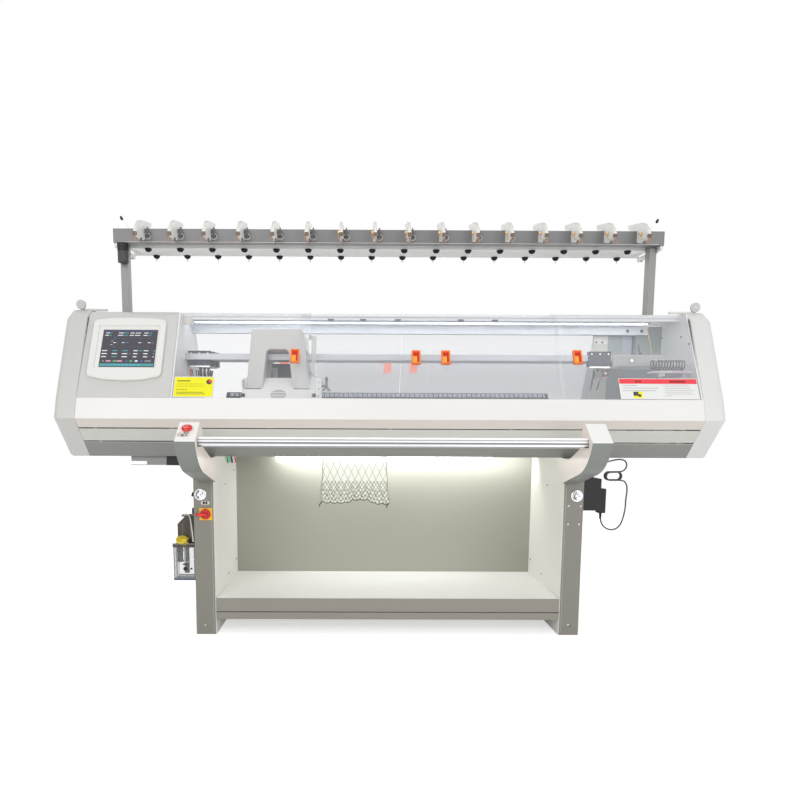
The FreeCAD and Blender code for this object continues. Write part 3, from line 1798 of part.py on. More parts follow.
def arcFrom(start, way, end):
    # the arc that leaves a point along a direction and ends at another point
    chord = end - start
    turn = way.getAngle(chord)
    if turn < straightEnough:
        return Part.LineSegment(start, end).toShape()
    outward = (way - chord * (way.dot(chord) / chord.Length ** 2)).normalize()
    middle = start + chord / 2 + outward * (chord.Length / 2 * math.tan(turn / 2))
    return Part.Arc(start, middle, end).toShape()


# ---- supply cable ----

cableStart = (
    (912, 152, 522),
    (912, 152, 496),
    (921, 151, 468),
    (943, 149, 450),
    (972, 146, 448),
    (995, 143, 466),
    (1006, 141, 500),
    (1013, 139, 542),
    (1012, 137, 584),
    (1016, 136, 619),
    (1012, 135, 646),
    (997, 134, 663),
    (975, 134, 663),
)
cableEnd = (
    (982, 166.8, 697),
    (1002, 166.8, 697),
    (1018, 167, 709),
    (1023, 167, 729),
    (1012, 166, 746),
    (990, 165, 751),
    (954, 163, 745),
    (915, 160, 733),
    (883, 157, 716),
    (868, 155, 694),
    (868, 155, 671),
)


def cableStretch(name, points):
    edges, radii = roundedPath([(x, nose + y, z) for x, y, z in points])
    print("%s least bend radius %.1f" % (name, min(radii)))
    return tubeAlong(name, edges, size.cableRadius.number)


hankTail = 7


def hankEdges():
    # level loops side by side; each passes on to the next along its top run
    left = (size.hankX - size.hankRun / 2).number
    right = (size.hankX + size.hankRun / 2).number
    loop = size.hankLoop.number
    middle = size.hankHeight.number
    low, high = middle - loop, middle + loop
    edges = []
    turns = int(size.hankTurns.number)
    for turn in range(turns):
        y = (nose + size.hankFront + size.hankPitch * turn).number
        nextY = y + size.hankPitch.number
        edges.append(Part.LineSegment(FreeCAD.Vector(right, y, low), FreeCAD.Vector(left, y, low)).toShape())
        edges.append(Part.Arc(FreeCAD.Vector(left, y, low), FreeCAD.Vector(left - loop, y, middle),
                              FreeCAD.Vector(left, y, high)).toShape())
        along = FreeCAD.Vector(1, 0, 0)
        edges += biarc(FreeCAD.Vector(left, y, high), along, FreeCAD.Vector(right, nextY, high), along)
        if turn == turns - 1:
            edges.append(Part.LineSegment(FreeCAD.Vector(right, nextY, high),
                                          FreeCAD.Vector(right + hankTail, nextY, high)).toShape())
            break
        edges.append(Part.Arc(FreeCAD.Vector(right, nextY, high), FreeCAD.Vector(right + loop, nextY, middle),
                              FreeCAD.Vector(right, nextY, low)).toShape())
    return edges


group("cable_lead", inCode("cable_start", cableStretch("cable_start", cableStart)),
      inCode("cable_end", cableStretch("cable_end", cableEnd)))
hank = hankEdges()
keep(inCode("cable_hank", tubeAlong("cable_hank", hank, size.cableRadius.number)), "cable_hank")
print("cable_hank least gap %.2f" % leastGap(Part.Wire(hank), size.cableRadius.number * 2,
                                             size.cableRadius.number * 6))


# ---- guard coil ----

def coilEdges():
    # a screw line about a level axis, in quarter turns, with upright straight ends
    radius = (size.coilRadius - size.coilWire / 2).number
    pitch = size.coilPitch.number
    y, z = (nose + size.coilFront).number, coilHeight.number
    quarters = int(size.coilTurns.number) * 4 + 2
    spots, ways = [], []
    for quarter in range(quarters + 1):
        angle = math.pi / 2 * quarter
        x = coilLeft.number + pitch * quarter / 4
        spots.append(FreeCAD.Vector(x, y - radius * math.cos(angle), z + radius * math.sin(angle)))
        way = FreeCAD.Vector(pitch / (2 * math.pi), radius * math.sin(angle), radius * math.cos(angle))
        ways.append(way.normalize())
    ways[0] = FreeCAD.Vector(0, 0, 1)
    ways[-1] = FreeCAD.Vector(0, 0, -1)
    foot = (coilHeight - size.coilStripDrop).number
    first = FreeCAD.Vector(spots[0].x, spots[0].y, foot)
    last = FreeCAD.Vector(spots[-1].x, spots[-1].y, foot)
    edges = [Part.LineSegment(first, spots[0]).toShape()]
    for start, startWay, end, endWay in zip(spots, ways, spots[1:], ways[1:]):
        edges += biarc(start, startWay, end, endWay)
    return edges + [Part.LineSegment(spots[-1], last).toShape()]


coil = coilEdges()
keep(inCode("guard_coil", tubeAlong("guard_coil", coil, size.coilWire.number / 2)), "guard_coil")
print("guard_coil least gap %.2f" % leastGap(Part.Wire(coil), size.coilWire.number,
                                             size.coilWire.number * 6))


# ---- knitted cloth ----

def clothSection(z, wave):
    # a strip across the machine; with a wave it bends to and fro in shallow arcs
    left, right = (-size.clothLeft).number, size.clothRight.number
    y, thick = throat.number, size.clothThick.number / 2
    count = int(size.clothWaves.number)
    step = (right - left) / count
    edges = []
    for side in (-1, 1):
        offset = y + thick * side
        run = []
        for number in range(count):
            start = FreeCAD.Vector(left + step * number, offset, z)
            end = FreeCAD.Vector(left + step * (number + 1), offset, z)
            bulge = wave if number % 2 else -wave
            middle = FreeCAD.Vector(left + step * (number + 0.5), offset + bulge, z)
            run.append((start, middle, end))
        if side > 0:
            run = [(end, middle, start) for start, middle, end in run[::-1]]
        for start, middle, end in run:
            piece = Part.Arc(start, middle, end) if wave else Part.LineSegment(start, end)
            edges.append(piece.toShape())
        ended = FreeCAD.Vector(right if side < 0 else left, offset, z)
        across = FreeCAD.Vector(ended.x, y - thick * side, z)
        edges.append(Part.LineSegment(ended, across).toShape())
    return Part.Wire(edges)


clothWires = [
    clothSection(clothTop.number, 0),
    clothSection(clothFlat.number, 0),
    clothSection(clothHem.number, size.clothWaveDepth.number),
]
keep(inCode("knitted_cloth", Part.makeLoft(clothWires, True, True)), "knitted_cloth")


# ---- checks and export ----

def checkAndWrite():
    doc.recompute()
    for item in doc.Objects:
        if "Invalid" in item.State or "Error" in item.State:
            raise RuntimeError("%s failed: %s" % (item.Label, item.State))
    for item in parts:
        if item.Shape.isNull() or not item.Shape.isValid():
            raise RuntimeError("%s has no valid shape" % item.Label)
    os.makedirs("parts", exist_ok=True)
    for item in parts:
        shape = item.Shape
        print("%-22s solids %3d volume %.0f" % (item.Label, len(shape.Solids), shape.Volume))
        shape.exportStep("parts/%s.step" % item.Label)


checkAndWrite()
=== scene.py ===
import json
import math

import bmesh
import bpy
from mathutils import Matrix, Vector


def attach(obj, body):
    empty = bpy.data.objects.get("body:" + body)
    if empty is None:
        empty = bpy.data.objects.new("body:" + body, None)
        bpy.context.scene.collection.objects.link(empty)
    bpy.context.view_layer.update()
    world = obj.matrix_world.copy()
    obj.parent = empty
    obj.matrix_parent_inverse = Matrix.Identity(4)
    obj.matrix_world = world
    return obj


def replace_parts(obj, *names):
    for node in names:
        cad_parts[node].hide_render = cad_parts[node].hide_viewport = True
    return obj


# Looks of the flat knitting machine. Metres: X along the beds, Y to the back, Z up.
# Every mesh made here has its object at the origin, so object coordinates are places on the machine.

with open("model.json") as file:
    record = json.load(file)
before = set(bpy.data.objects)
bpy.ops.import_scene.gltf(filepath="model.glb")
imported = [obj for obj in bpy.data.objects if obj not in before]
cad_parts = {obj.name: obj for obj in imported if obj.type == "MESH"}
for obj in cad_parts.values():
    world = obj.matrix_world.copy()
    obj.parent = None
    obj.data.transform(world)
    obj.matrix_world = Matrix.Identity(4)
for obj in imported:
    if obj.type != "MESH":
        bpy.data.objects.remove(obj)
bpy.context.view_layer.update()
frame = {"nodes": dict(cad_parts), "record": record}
print("frame loaded")

nodes = frame["nodes"]
nose = -0.195      # depth of the body's front edge
throat = 0.125     # middle plane between the needle beds
slopeLean = math.radians(25.7)      # lean of the covers
bedLean = math.radians(45)
creaseTurn = math.radians(35)       # edges sharper than this stay sharp
flatTurn = math.radians(0.5)        # faces nearer to level than this are one face
weldGap = 0.000002                  # points closer than this are one point


def link(thing):
    bpy.context.scene.collection.objects.link(thing)


# camera: angles in radians, focal length and centre in pixels of the picture

cameraFacts = {"place": (-0.1333, -2.8131, 0.9031), "yaw": 0.0044, "pitch": -0.1132, "roll": -0.0042,
               "focal": 652.1, "centre": (359.8, 496.4), "picture": 800, "sensor": 36}


def makeCamera(facts):
    data = bpy.data.cameras.new("camera")
    size = facts["picture"]
    data.sensor_width = facts["sensor"]
    data.lens = facts["focal"] / size * facts["sensor"]
    data.shift_x = (size / 2 - facts["centre"][0]) / size
    data.shift_y = (facts["centre"][1] - size / 2) / size
    camera = bpy.data.objects.new("camera", data)
    yaw, pitch, roll = facts["yaw"], facts["pitch"], facts["roll"]
    forward = Vector((math.sin(yaw) * math.cos(pitch), math.cos(yaw) * math.cos(pitch), math.sin(pitch)))
    upward = Vector((-math.sin(yaw) * math.sin(pitch), -math.cos(yaw) * math.sin(pitch), math.cos(pitch)))
    right = Vector((math.cos(yaw), -math.sin(yaw), 0))
    turn = Matrix((right * math.cos(roll) - upward * math.sin(roll),
                   right * math.sin(roll) + upward * math.cos(roll), -forward)).transposed().to_4x4()
    camera.matrix_world = Matrix.Translation(facts["place"]) @ turn
    link(camera)
    bpy.context.scene.camera = camera


makeCamera(cameraFacts)


# shader sums

class Value:
    # a socket's value in a sum

    def __init__(self, shade, socket):
        self.shade = shade
        self.socket = socket

    def __add__(self, other):
        return self.shade.maths("ADD", self, other)

    def __radd__(self, other):
        return self.shade.maths("ADD", other, self)

    def __sub__(self, other):
        return self.shade.maths("SUBTRACT", self, other)

    def __rsub__(self, other):
        return self.shade.maths("SUBTRACT", other, self)

    def __mul__(self, other):
        return self.shade.maths("MULTIPLY", self, other)

    def __rmul__(self, other):
        return self.shade.maths("MULTIPLY", other, self)

    def __truediv__(self, other):
        return self.shade.maths("DIVIDE", self, other)

    def __rtruediv__(self, other):
        return self.shade.maths("DIVIDE", other, self)

    def __gt__(self, other):
        return self.shade.maths("GREATER_THAN", self, other)

    def __lt__(self, other):
        return self.shade.maths("LESS_THAN", self, other)

    def wrap(self, period):
        return self.shade.maths("FLOORED_MODULO", self, period)

    def size(self):
        return self.shade.maths("ABSOLUTE", self, 0)


class Shade:
    # one material and its nodes

    def __init__(self, name, **fixed):
        self.material = bpy.data.materials.new(name)
        self.material.use_nodes = True
        self.tree = self.material.node_tree
        self.tree.nodes.clear()
        self.surface = self.tree.nodes.new("ShaderNodeBsdfPrincipled")
        self.out = self.tree.nodes.new("ShaderNodeOutputMaterial")
        self.tree.links.new(self.surface.outputs[0], self.out.inputs[0])
        for socket, value in fixed.items():
            self.surface.inputs[socket.replace("_", " ")].default_value = value

    def put(self, socket, value):
        if isinstance(value, Value):
            self.tree.links.new(value.socket, socket)
        elif isinstance(value, tuple) and len(socket.default_value) == 4:
            socket.default_value = value + (1,)
        else:
            socket.default_value = value

    def node(self, kind, settings=None, inputs=None, output=0):
        made = self.tree.nodes.new(kind)
        for name, value in (settings or {}).items():
            setattr(made, name, value)
        for name, value in (inputs or {}).items():
            self.put(made.inputs[name], value)
        return Value(self, made.outputs[output])

    def maths(self, operation, first, second):
        return self.node("ShaderNodeMath", {"operation": operation}, {0: first, 1: second})

    def mixed(self, share, first, second):
        return self.node("ShaderNodeMix", {"data_type": "RGBA"}, {0: share, 6: first, 7: second}, 2)

    def parts(self, vector):
        return [self.node("ShaderNodeSeparateXYZ", None, {0: vector}, number) for number in range(3)]

    def places(self):
        return self.parts(self.node("ShaderNodeTexCoord", output="Object"))

    def noise(self, scale, detail=3, stretch=None):
        spot = self.node("ShaderNodeTexCoord", output="Object")
        if stretch:
            spot = self.node("ShaderNodeMapping", None, {"Vector": spot, "Scale": stretch})
        return self.node("ShaderNodeTexNoise", None, {"Vector": spot, "Scale": scale, "Detail": detail})

    def between(self, value, low, high):
        # turns a 0 to 1 value into a range
        return value * (high - low) + low

    def colour(self, value):
        self.put(self.surface.inputs["Base Color"], value)

    def rough(self, value, low, high):
        self.put(self.surface.inputs["Roughness"], self.between(value, low, high))

    def bump(self, height, distance):
        self.put(self.surface.inputs["Normal"],
                 self.node("ShaderNodeBump", None, {"Height": height, "Distance": distance, "Strength": 1.0}))

    def worn(self, low, high, grain=0.00005, cloud=(14, 4), grit=900):
        # uneven shine and a fine grain
        self.rough(self.noise(*cloud), low, high)
        self.bump(self.noise(grit, 2), grain)


def tone(colour, factor):
    # a single number is a grey
    channels = colour if isinstance(colour, tuple) else (colour,) * 3
    return tuple(min(1, channel * factor) for channel in channels)


def mottled(shade, colour, spread, scale, detail=4):
    return shade.mixed(shade.noise(scale, detail), tone(colour, 1 - spread), tone(colour, 1 + spread))


def enamel(name, colour, rough=0.38, grain=0.00006):
    shade = Shade(name)
    shade.colour(mottled(shade, colour, 0.02, 3))
    shade.worn(rough - 0.05, rough + 0.08, grain)
    return shade.material


def board(name, colour, rough):
    # the large quiet sheets of the legs and the bay
    shade = Shade(name)
    shade.colour(mottled(shade, colour, 0.04, 1.6, 3))
    shade.worn(rough - 0.05, rough + 0.08, 0.00005, (9, 4), 700)
    return shade.material


def moulded(name, colour, rough=0.5, spread=0.05, shine=0.5, grain=0.00005):
    shade = Shade(name, Specular_IOR_Level=shine)
    shade.colour(mottled(shade, colour, spread, 25))
    shade.worn(rough - 0.07, rough + 0.09, grain, (45, 3), 1400)
    return shade.material


def drawn(name, colour, rough, metallic, dark, stray, stretch):
    shade = Shade(name, Metallic=metallic)
    streak = shade.noise(60, 5, stretch)
    shade.colour(shade.mixed(streak, tone(colour, dark), tone(colour, 1.1)))
    shade.rough(streak, rough - stray, rough + stray + 0.02)
    shade.bump(streak, 0.00004)
    return shade.material


def brushed(name, colour, rough):
    return drawn(name, colour, rough, 1.0, 0.88, 0.1, (1, 1, 1))


def satin(name, colour, rough, stretch=(0.02, 1, 1)):
    # anodised metal: a soft shine with drawn lines
    return drawn(name, colour, rough, 0.35, 0.9, 0.08, stretch)


def glowing(name, colour, strength):
    shade = Shade(name, Emission_Strength=strength)
    glow = mottled(shade, colour, 0.03, 20)
    shade.colour(glow)
    shade.put(shade.surface.inputs["Emission Color"], glow)
    shade.rough(shade.noise(30, 2), 0.3, 0.4)
    return shade.material


def clearSheet(name, tint, veilAndReflection, edge, glareShare=0):
    # clear plastic with a whitish veil that grows where the sheet is seen edge on: painted reflection, and on the pale
    # strap also its own colour;
    # the last argument adds more painted reflection low down and to the right on the cover sheets
    shade = Shade(name, Specular_IOR_Level=0.6)
    shade.colour(mottled(shade, tint, 0.02, 5))
    facing = shade.node("ShaderNodeLayerWeight", None, {"Blend": 0.25}, "Facing")
    smear = shade.noise(6, 4, (0.4, 1, 1))
    alpha = facing * edge + shade.between(smear, veilAndReflection * 0.7, veilAndReflection * 1.3)
    if glareShare:
        x, y, z = shade.places()
        right = shade.node("ShaderNodeMapRange", None, {"Value": x, "From Min": -0.42, "From Max": -0.30})
        low = shade.node("ShaderNodeMapRange", None, {"Value": z, "From Min": 1.215, "From Max": 1.185})
        # painted reflection, strongest low down on the right
        alpha = alpha + right * (low * glareShare + glareShare * 0.25)
    shade.put(shade.surface.inputs["Alpha"], alpha)
    shade.rough(smear, 0.06, 0.14)
    return shade.material


def layered(name, rough, scale, *layers):
    # enamel and painted shade in bands from the lowest up: where a band begins, its colour and how far that strays
    shade = Shade(name)
    x, y, z = shade.places()
    paint = mottled(shade, layers[0][1], layers[0][2], scale)
    for bottom, colour, spread in layers[1:]:
        paint = shade.mixed(z > bottom, paint, mottled(shade, colour, spread, scale))
    shade.colour(paint)
    shade.worn(rough, rough + 0.12)
    return shade.material


def armEnamel(name, top, front, side):
    # white tops, grey fronts and pale sides
    shade = Shade(name)
    x, y, z = shade.parts(shade.node("ShaderNodeNewGeometry", output="True Normal"))
    paint = shade.mixed(z > -0.1, mottled(shade, front, 0.02, 5), mottled(shade, top, 0.015, 5))
    shade.colour(shade.mixed(x.size() > 0.5, paint, mottled(shade, side, 0.02, 5)))
    shade.worn(0.36, 0.48, 0.00006)
    return shade.material


def shelfEnamel(name, tray, lip):
    # a white tray with its front lip and beam in the legs' colour
    shade = Shade(name)
    x, y, z = shade.places()
    front = shade.maths("MAXIMUM", y < -0.1035, z < 0.0975)
    shade.colour(shade.mixed(front, mottled(shade, tray, 0.015, 3), mottled(shade, lip, 0.02, 3)))
    shade.worn(0.36, 0.48)
    return shade.material


def slottedSteel(name, dark, pale, slot):
    # dark steel with the fine slots of the needle beds
    shade = Shade(name, Metallic=0.8)
    x, y, z = shade.places()
    line = (x.wrap(0.0042) - 0.0021).size() > 0.0014
    wear = shade.noise(30, 4, (1, 0.2, 1))
    shade.colour(shade.mixed(line, shade.mixed(wear, dark, pale), slot))
    shade.rough(wear, 0.45, 0.6)
    shade.bump(1 - line, 0.0004)
    return shade.material


paints = {}


def paintSet(maker, **table):
    for name, facts in table.items():
        paints[name] = maker(name, *facts)


bandWhite = (0.84, 0.83, 0.81)
# the left end cap and the control panel take a darker copy of the end caps' white than the right end cap: painted
# shade on the machine's left end
paintSet(enamel, whitePaint=((0.83, 0.83, 0.81),), innerPaint=((0.88, 0.885, 0.88), 0.4),
         panelPaint=((0.62, 0.615, 0.595),), rightCapPaint=((0.755, 0.755, 0.745),),
         castingPaint=((0.42, 0.43, 0.41), 0.5, 0.0001), carriagePaint=((0.61, 0.605, 0.58), 0.4),
         camPaint=((0.90, 0.90, 0.885), 0.36), beamPaint=((0.70, 0.72, 0.76), 0.4),
         bracketPaint=((0.46, 0.47, 0.46), 0.42), darkPaint=((0.30, 0.30, 0.29), 0.5))
paintSet(board, legPaint=((0.24, 0.23, 0.197), 0.42), sidePaint=((0.85, 0.83, 0.78), 0.45),
         bayPaint=((0.35, 0.345, 0.295), 0.5))
# the front band's brownish lowest band is painted shadow under its rounded lower edge; the aprons' grey-beige and dark
# grey lower bands are painted shade on their downward-facing strips
paintSet(layered, bandPaint=(0.3, 3, (0, (0.735, 0.685, 0.635), 0.02), (0.9135, bandWhite, 0.015)),
         apronPaint=(0.34, 3, (0, (0.262, 0.267, 0.248), 0.02), (0.818, (0.645, 0.645, 0.605), 0.02),
                     (0.876, bandWhite, 0.015)),
         standPlatePaint=(0.36, 4, (0, (0.20, 0.235, 0.23), 0.02), (1.150, (0.30, 0.34, 0.335), 0.02)))
paintSet(armEnamel, armPaint=((0.88, 0.88, 0.86), (0.228, 0.245, 0.230), (0.90, 0.82, 0.76)))
paintSet(shelfEnamel, shelfEnamel=((0.87, 0.87, 0.84), (0.29, 0.275, 0.24)))
paintSet(slottedSteel, needleSteel=((0.030, 0.036, 0.050), (0.060, 0.070, 0.092), (0.02, 0.02, 0.025)))
paintSet(satin, railSteel=((0.52, 0.53, 0.56), 0.4), barAluminium=((0.90, 0.90, 0.91), 0.36),
         standAluminium=((0.19, 0.19, 0.195), 0.46), postAluminium=((0.23, 0.23, 0.222), 0.42, (1, 1, 0.02)))
paintSet(brushed, darkScrew=(0.14, 0.4), pulleyMetal=((0.62, 0.63, 0.64), 0.4), screwSteel=(0.66, 0.3),
         latchChrome=((0.82, 0.83, 0.84), 0.18))
paintSet(moulded, lampGrey=(0.08, 0.6, 0.04, 0.25), discPaint=((0.13, 0.13, 0.135), 0.45),
         blackPlastic=((0.020, 0.020, 0.022), 0.45, 0.05, 0.3),
         carrierPlastic=((0.050, 0.054, 0.075), 0.5, 0.05, 0.35), whitePlastic=((0.82, 0.82, 0.80), 0.45, 0.02),
         greyPlastic=((0.55, 0.56, 0.55), 0.5, 0.03), bezelPlastic=((0.80, 0.80, 0.77), 0.42, 0.02),
         rubberBlack=((0.016, 0.018, 0.026), 0.75, 0.05, 0.25), rollerRubber=(0.10, 0.7),
         stopRed=((0.70, 0.02, 0.02), 0.25, 0.03), switchRed=((0.60, 0.02, 0.02), 0.3, 0.03),
         switchDark=((0.30, 0.010, 0.014), 0.3, 0.03), switchYellow=((0.90, 0.50, 0.03), 0.4, 0.03),
         capYellow=((0.72, 0.55, 0.03), 0.4, 0.03), pullOrange=((0.95, 0.22, 0.04), 0.35, 0.04),
         pumpPlastic=((0.085, 0.072, 0.058), 0.5, 0.05, 0.35))
# the rear covers' salmon pulls glow though no lamp is in them: painted light
paintSet(glowing, pullSalmon=((0.90, 0.24, 0.10), 0.75), lampTube=((0.96, 0.98, 1.0), 12.0))
paintSet(clearSheet, clearCover=((0.86, 0.88, 0.93), 0.05, 0.3, 0.05),
         rearCover=((0.72, 0.745, 0.80), 0.04, 0.25, 0.27), tankClear=((0.52, 0.54, 0.56), 0.13, 0.4))


bodyOf = {node: body for body, members in frame["record"]["behaviour"]["bodies"].items() for node in members}


def addPiece(name, data, body, names, edge=0):
    # names: the paints' names with spaces between; edge: width of the softened edges
    for paint in names.split():
        data.materials.append(paints[paint])
    piece = bpy.data.objects.new(name, data)
    link(piece)
    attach(piece, body)
    if edge:
        bevel = piece.modifiers.new("edges", "BEVEL")
        bevel.width = edge
        bevel.segments = 2
        bevel.limit_method = "ANGLE"
        bevel.angle_limit = creaseTurn
        bevel.harden_normals = False
    return piece


def crease(work, mesh, smooth=True):
    # smooth faces with sharp creases, written back to the mesh
    for face in work.faces:
        face.smooth = smooth
    for line in work.edges:
        line.smooth = len(line.link_faces) == 2 and line.calc_face_angle(0) < creaseTurn
    work.to_mesh(mesh)
    work.free()


def solidsOf(node):
    # the node's mesh with its points joined
    work = bmesh.new()
    work.from_mesh(nodes[node].data)
    bmesh.ops.remove_doubles(work, verts=work.verts, dist=weldGap)
    return work


def islandsOf(work):
    # the faces of each separate solid
    left = set(work.faces)
    groups = []
    while left:
        start = left.pop()
        group, border = [start], [start]
        while border:
            for edge in border.pop().edges:
                for near in edge.link_faces:
                    if near in left:
                        left.remove(near)
                        group.append(near)
                        border.append(near)
        groups.append(group)
    return groups


def corners(spots):
    spots = list(spots)
    return [Vector([choose(spot[axis] for spot in spots) for axis in range(3)]) for choose in (min, max)]


def cornersOf(group):
    return corners(vert.co for face in group for vert in face.verts)


def remake(node, names, edge, pick=None):
    # a node's own shape again, with softened edges and a paint for each of its solids
    work = solidsOf(node)
    bmesh.ops.dissolve_limit(work, angle_limit=flatTurn, verts=work.verts, edges=work.edges)
    if pick:
        for group in islandsOf(work):
            chosen = pick(*cornersOf(group))
            for face in group:
                face.material_index = chosen
    mesh = bpy.data.meshes.new(node + "Look")
    crease(work, mesh)
    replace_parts(addPiece(node + "Look", mesh, bodyOf[node], names, edge), node)


# supply cable: the points of part.py in metres, depths from the body's front edge

cableFacts = {"diameter": 0.0065, "length": 1.28, "sleeve": 0.026}
hankFacts = {"x": 0.958, "z": 0.680, "front": 0.134, "run": 0.034, "loop": 0.017, "pitch": 0.0082, "turns": 4}
cableStart = ((0.912, 0.152, 0.522), (0.912, 0.152, 0.496), (0.921, 0.151, 0.468), (0.943, 0.149, 0.450),
              (0.972, 0.146, 0.448), (0.995, 0.143, 0.466), (1.006, 0.141, 0.500), (1.013, 0.139, 0.542),
              (1.012, 0.137, 0.584), (1.016, 0.136, 0.619), (1.012, 0.135, 0.646), (0.997, 0.134, 0.663))
cableEnd = ((1.002, 0.1668, 0.697), (1.018, 0.167, 0.709), (1.023, 0.167, 0.729), (1.012, 0.166, 0.746),
            (0.990, 0.165, 0.751), (0.954, 0.163, 0.745), (0.915, 0.160, 0.733), (0.883, 0.157, 0.716),
            (0.868, 0.155, 0.694), (0.868, 0.155, 0.671))
paintSet(moulded, cableSheath=(0.10, 0.5, 0.04))


def hankTurns(facts):
    # level turns side by side, each passing on to the next along its top run
    left, right = facts["x"] - facts["run"] / 2, facts["x"] + facts["run"] / 2
    step = math.radians(30)
    wide = facts["loop"] / math.cos(step / 2)
    points = []

    def bend(middle, depth, start):
        for number in range(6):
            angle = math.radians(start) - step * number
            points.append((middle + wide * math.cos(angle), depth, facts["z"] + wide * math.sin(angle)))

    for turn in range(facts["turns"]):
        y = facts["front"] + facts["pitch"] * turn
        for share in (0.25, 0.75):
            points.append((right + (left - right) * share, y, facts["z"] - facts["loop"]))
        bend(left, y, 255)
        for share, climb in ((0.1, 0.02), (0.5, 0.5), (0.9, 0.98)):
            points.append((left + (right - left) * share, y + facts["pitch"] * climb, facts["z"] + facts["loop"]))
        if turn < facts["turns"] - 1:
            bend(right, y + facts["pitch"], 75)
    return points


def layCable(facts):
    points = [(x, nose + y, z) for x, y, z in (*cableStart, *hankTurns(hankFacts), *cableEnd)]
    curve = bpy.data.curves.new("supplyCable", "CURVE")
    curve.dimensions = "3D"
    curve.bevel_depth = facts["diameter"] / 2
    curve.bevel_resolution = 4
    curve.resolution_u = 8
    curve.use_fill_caps = True
    spline = curve.splines.new("NURBS")
    spline.points.add(len(points) - 1)
    for spot, point in zip(spline.points, points):
        spot.co = (*point, 1)
    spline.order_u = 3
    spline.use_endpoint_u = True
    cable = addPiece("supplyCable", curve, "machine", "cableSheath")
    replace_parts(cable, "cable_lead", "cable_hank")
    return points[0], points[-1]


cableEnds = layCable(cableFacts)
print("cable laid")


# shapes built from a few forms

def around(centre, radius, count, tall=None):
    # points of an upright ring that faces the front
    x, y, z = centre
    turns = [2 * math.pi * number / count for number in range(count)]
    return [(x + radius * math.cos(turn), y, z + (tall or radius) * math.sin(turn)) for turn in turns]


class Form:
    # gathers simple solids into one mesh

    def __init__(self):
        self.spots = []
        self.faces = []
        self.paints = []

    def loft(self, rings, paint=0, closed=False):
        # a skin over rings of equally many points, with its ends filled
        base, sides, count = len(self.spots), len(rings[0]), len(rings)
        faces = []
        for ring in range(count if closed else count - 1):
            here, there = ring * sides, (ring + 1) % count * sides
            for side in range(sides):
                after = (side + 1) % sides
                faces.append((here + side, here + after, there + after, there + side))
        if not closed:
            faces += [tuple(reversed(range(sides))), tuple((count - 1) * sides + side for side in range(sides))]
        self.spots += [tuple(spot) for ring in rings for spot in ring]
        self.faces += [tuple(base + corner for corner in face) for face in faces]
        self.paints += [paint] * len(faces)

    def box(self, low, high, paint=0):
        (x0, y0, z0), (x1, y1, z1) = low, high
        self.loft([((x, y0, z0), (x, y1, z0), (x, y1, z1), (x, y0, z1)) for x in (x0, x1)], paint)

    def turned(self, start, axis, rings, sides=24, paint=0):
        # rings are (distance along the axis, radius) from one end to the other
        axis = Vector(axis).normalized()
        across = axis.orthogonal().normalized()
        self.loft([ringRound(Vector(start) + axis * along, across, axis.cross(across), radius, sides)
                   for along, radius in rings], paint)

    def disc(self, start, axis, radius, length, paint=0, sides=24):
        self.turned(start, axis, ((0, radius), (length, radius)), sides, paint)

    def wire(self, points, radius, paint=0, sides=8, closed=False):
        # a round wire along points
        points = [Vector(point) for point in points]
        last = len(points) - 1
        rings, across = [], None
        for number, point in enumerate(points):
            before = points[number - 1] if number or closed else point
            after = points[(number + 1) % (last + 1)] if number < last or closed else point
            along = (after - before).normalized()
            across = along.orthogonal() if across is None else across - along * across.dot(along)
            across.normalize()
            rings.append(ringRound(point, across, along.cross(across), radius, sides))
        self.loft(rings, paint, closed)

    def prism(self, outline, low, high, paint=0):
        # outline in x and z, from one depth to another
        self.loft([[(x, y, z) for x, z in outline] for y in (low, high)], paint)

    def make(self, name, body, slotName, names, edge=0):
        mesh = bpy.data.meshes.new(name)
        mesh.from_pydata(self.spots, [], self.faces)
        mesh.polygons.foreach_set("material_index", self.paints)
        work = bmesh.new()
        work.from_mesh(mesh)
        bmesh.ops.recalc_face_normals(work, faces=work.faces)
        crease(work, mesh)
        return addPiece(name, mesh, body, names, edge)


def ringRound(middle, across, other, radius, sides):
    turns = [2 * math.pi * side / sides for side in range(sides)]
    return [middle + (across * math.cos(turn) + other * math.sin(turn)) * radius for turn in turns]


def sleeve(name, start, axis, facts):
    form = Form()
    radius = facts["diameter"] / 2
    form.turned(start, axis, ((0, radius * 2), (0.003, radius * 2), (0.004, radius * 1.7),
                              (facts["sleeve"], radius * 1.15)), 20)
    for number in range(4):
        thin = number * 0.0003
        form.turned(Vector(start) + Vector(axis) * (0.006 + number * 0.0045), axis,
                    ((0, radius * 1.75 - thin), (0.002, radius * 1.7 - thin)), 20)
    form.make(name, "machine", "power_plastic", "blackPlastic")


sleeve("connectorSleeve", cableEnds[0], (0, 0, -1), cableFacts)
sleeve("boxSleeve", cableEnds[1], (0, 0, 1), cableFacts)


# the nodes' own shapes; a pick gives each solid its paint, from the solid's lowest and highest corners

def legPick(low, high):
    if high.z - low.z > 0.5:
        return 0
    return 1 if high.z > 0.56 else 2


def railStandPick(low, high):
    long = high.x - low.x
    if long > 1:
        return 0
    if long < 0.05:
        return 3
    return 1 if high.z - low.z > 0.2 else 2


def standPick(low, high):
    if high.z - low.z > 0.2:
        return 1
    return 0 if low.x < -1.16 else 2


def narrower(width):
    return lambda low, high: int(high.x - low.x < width)


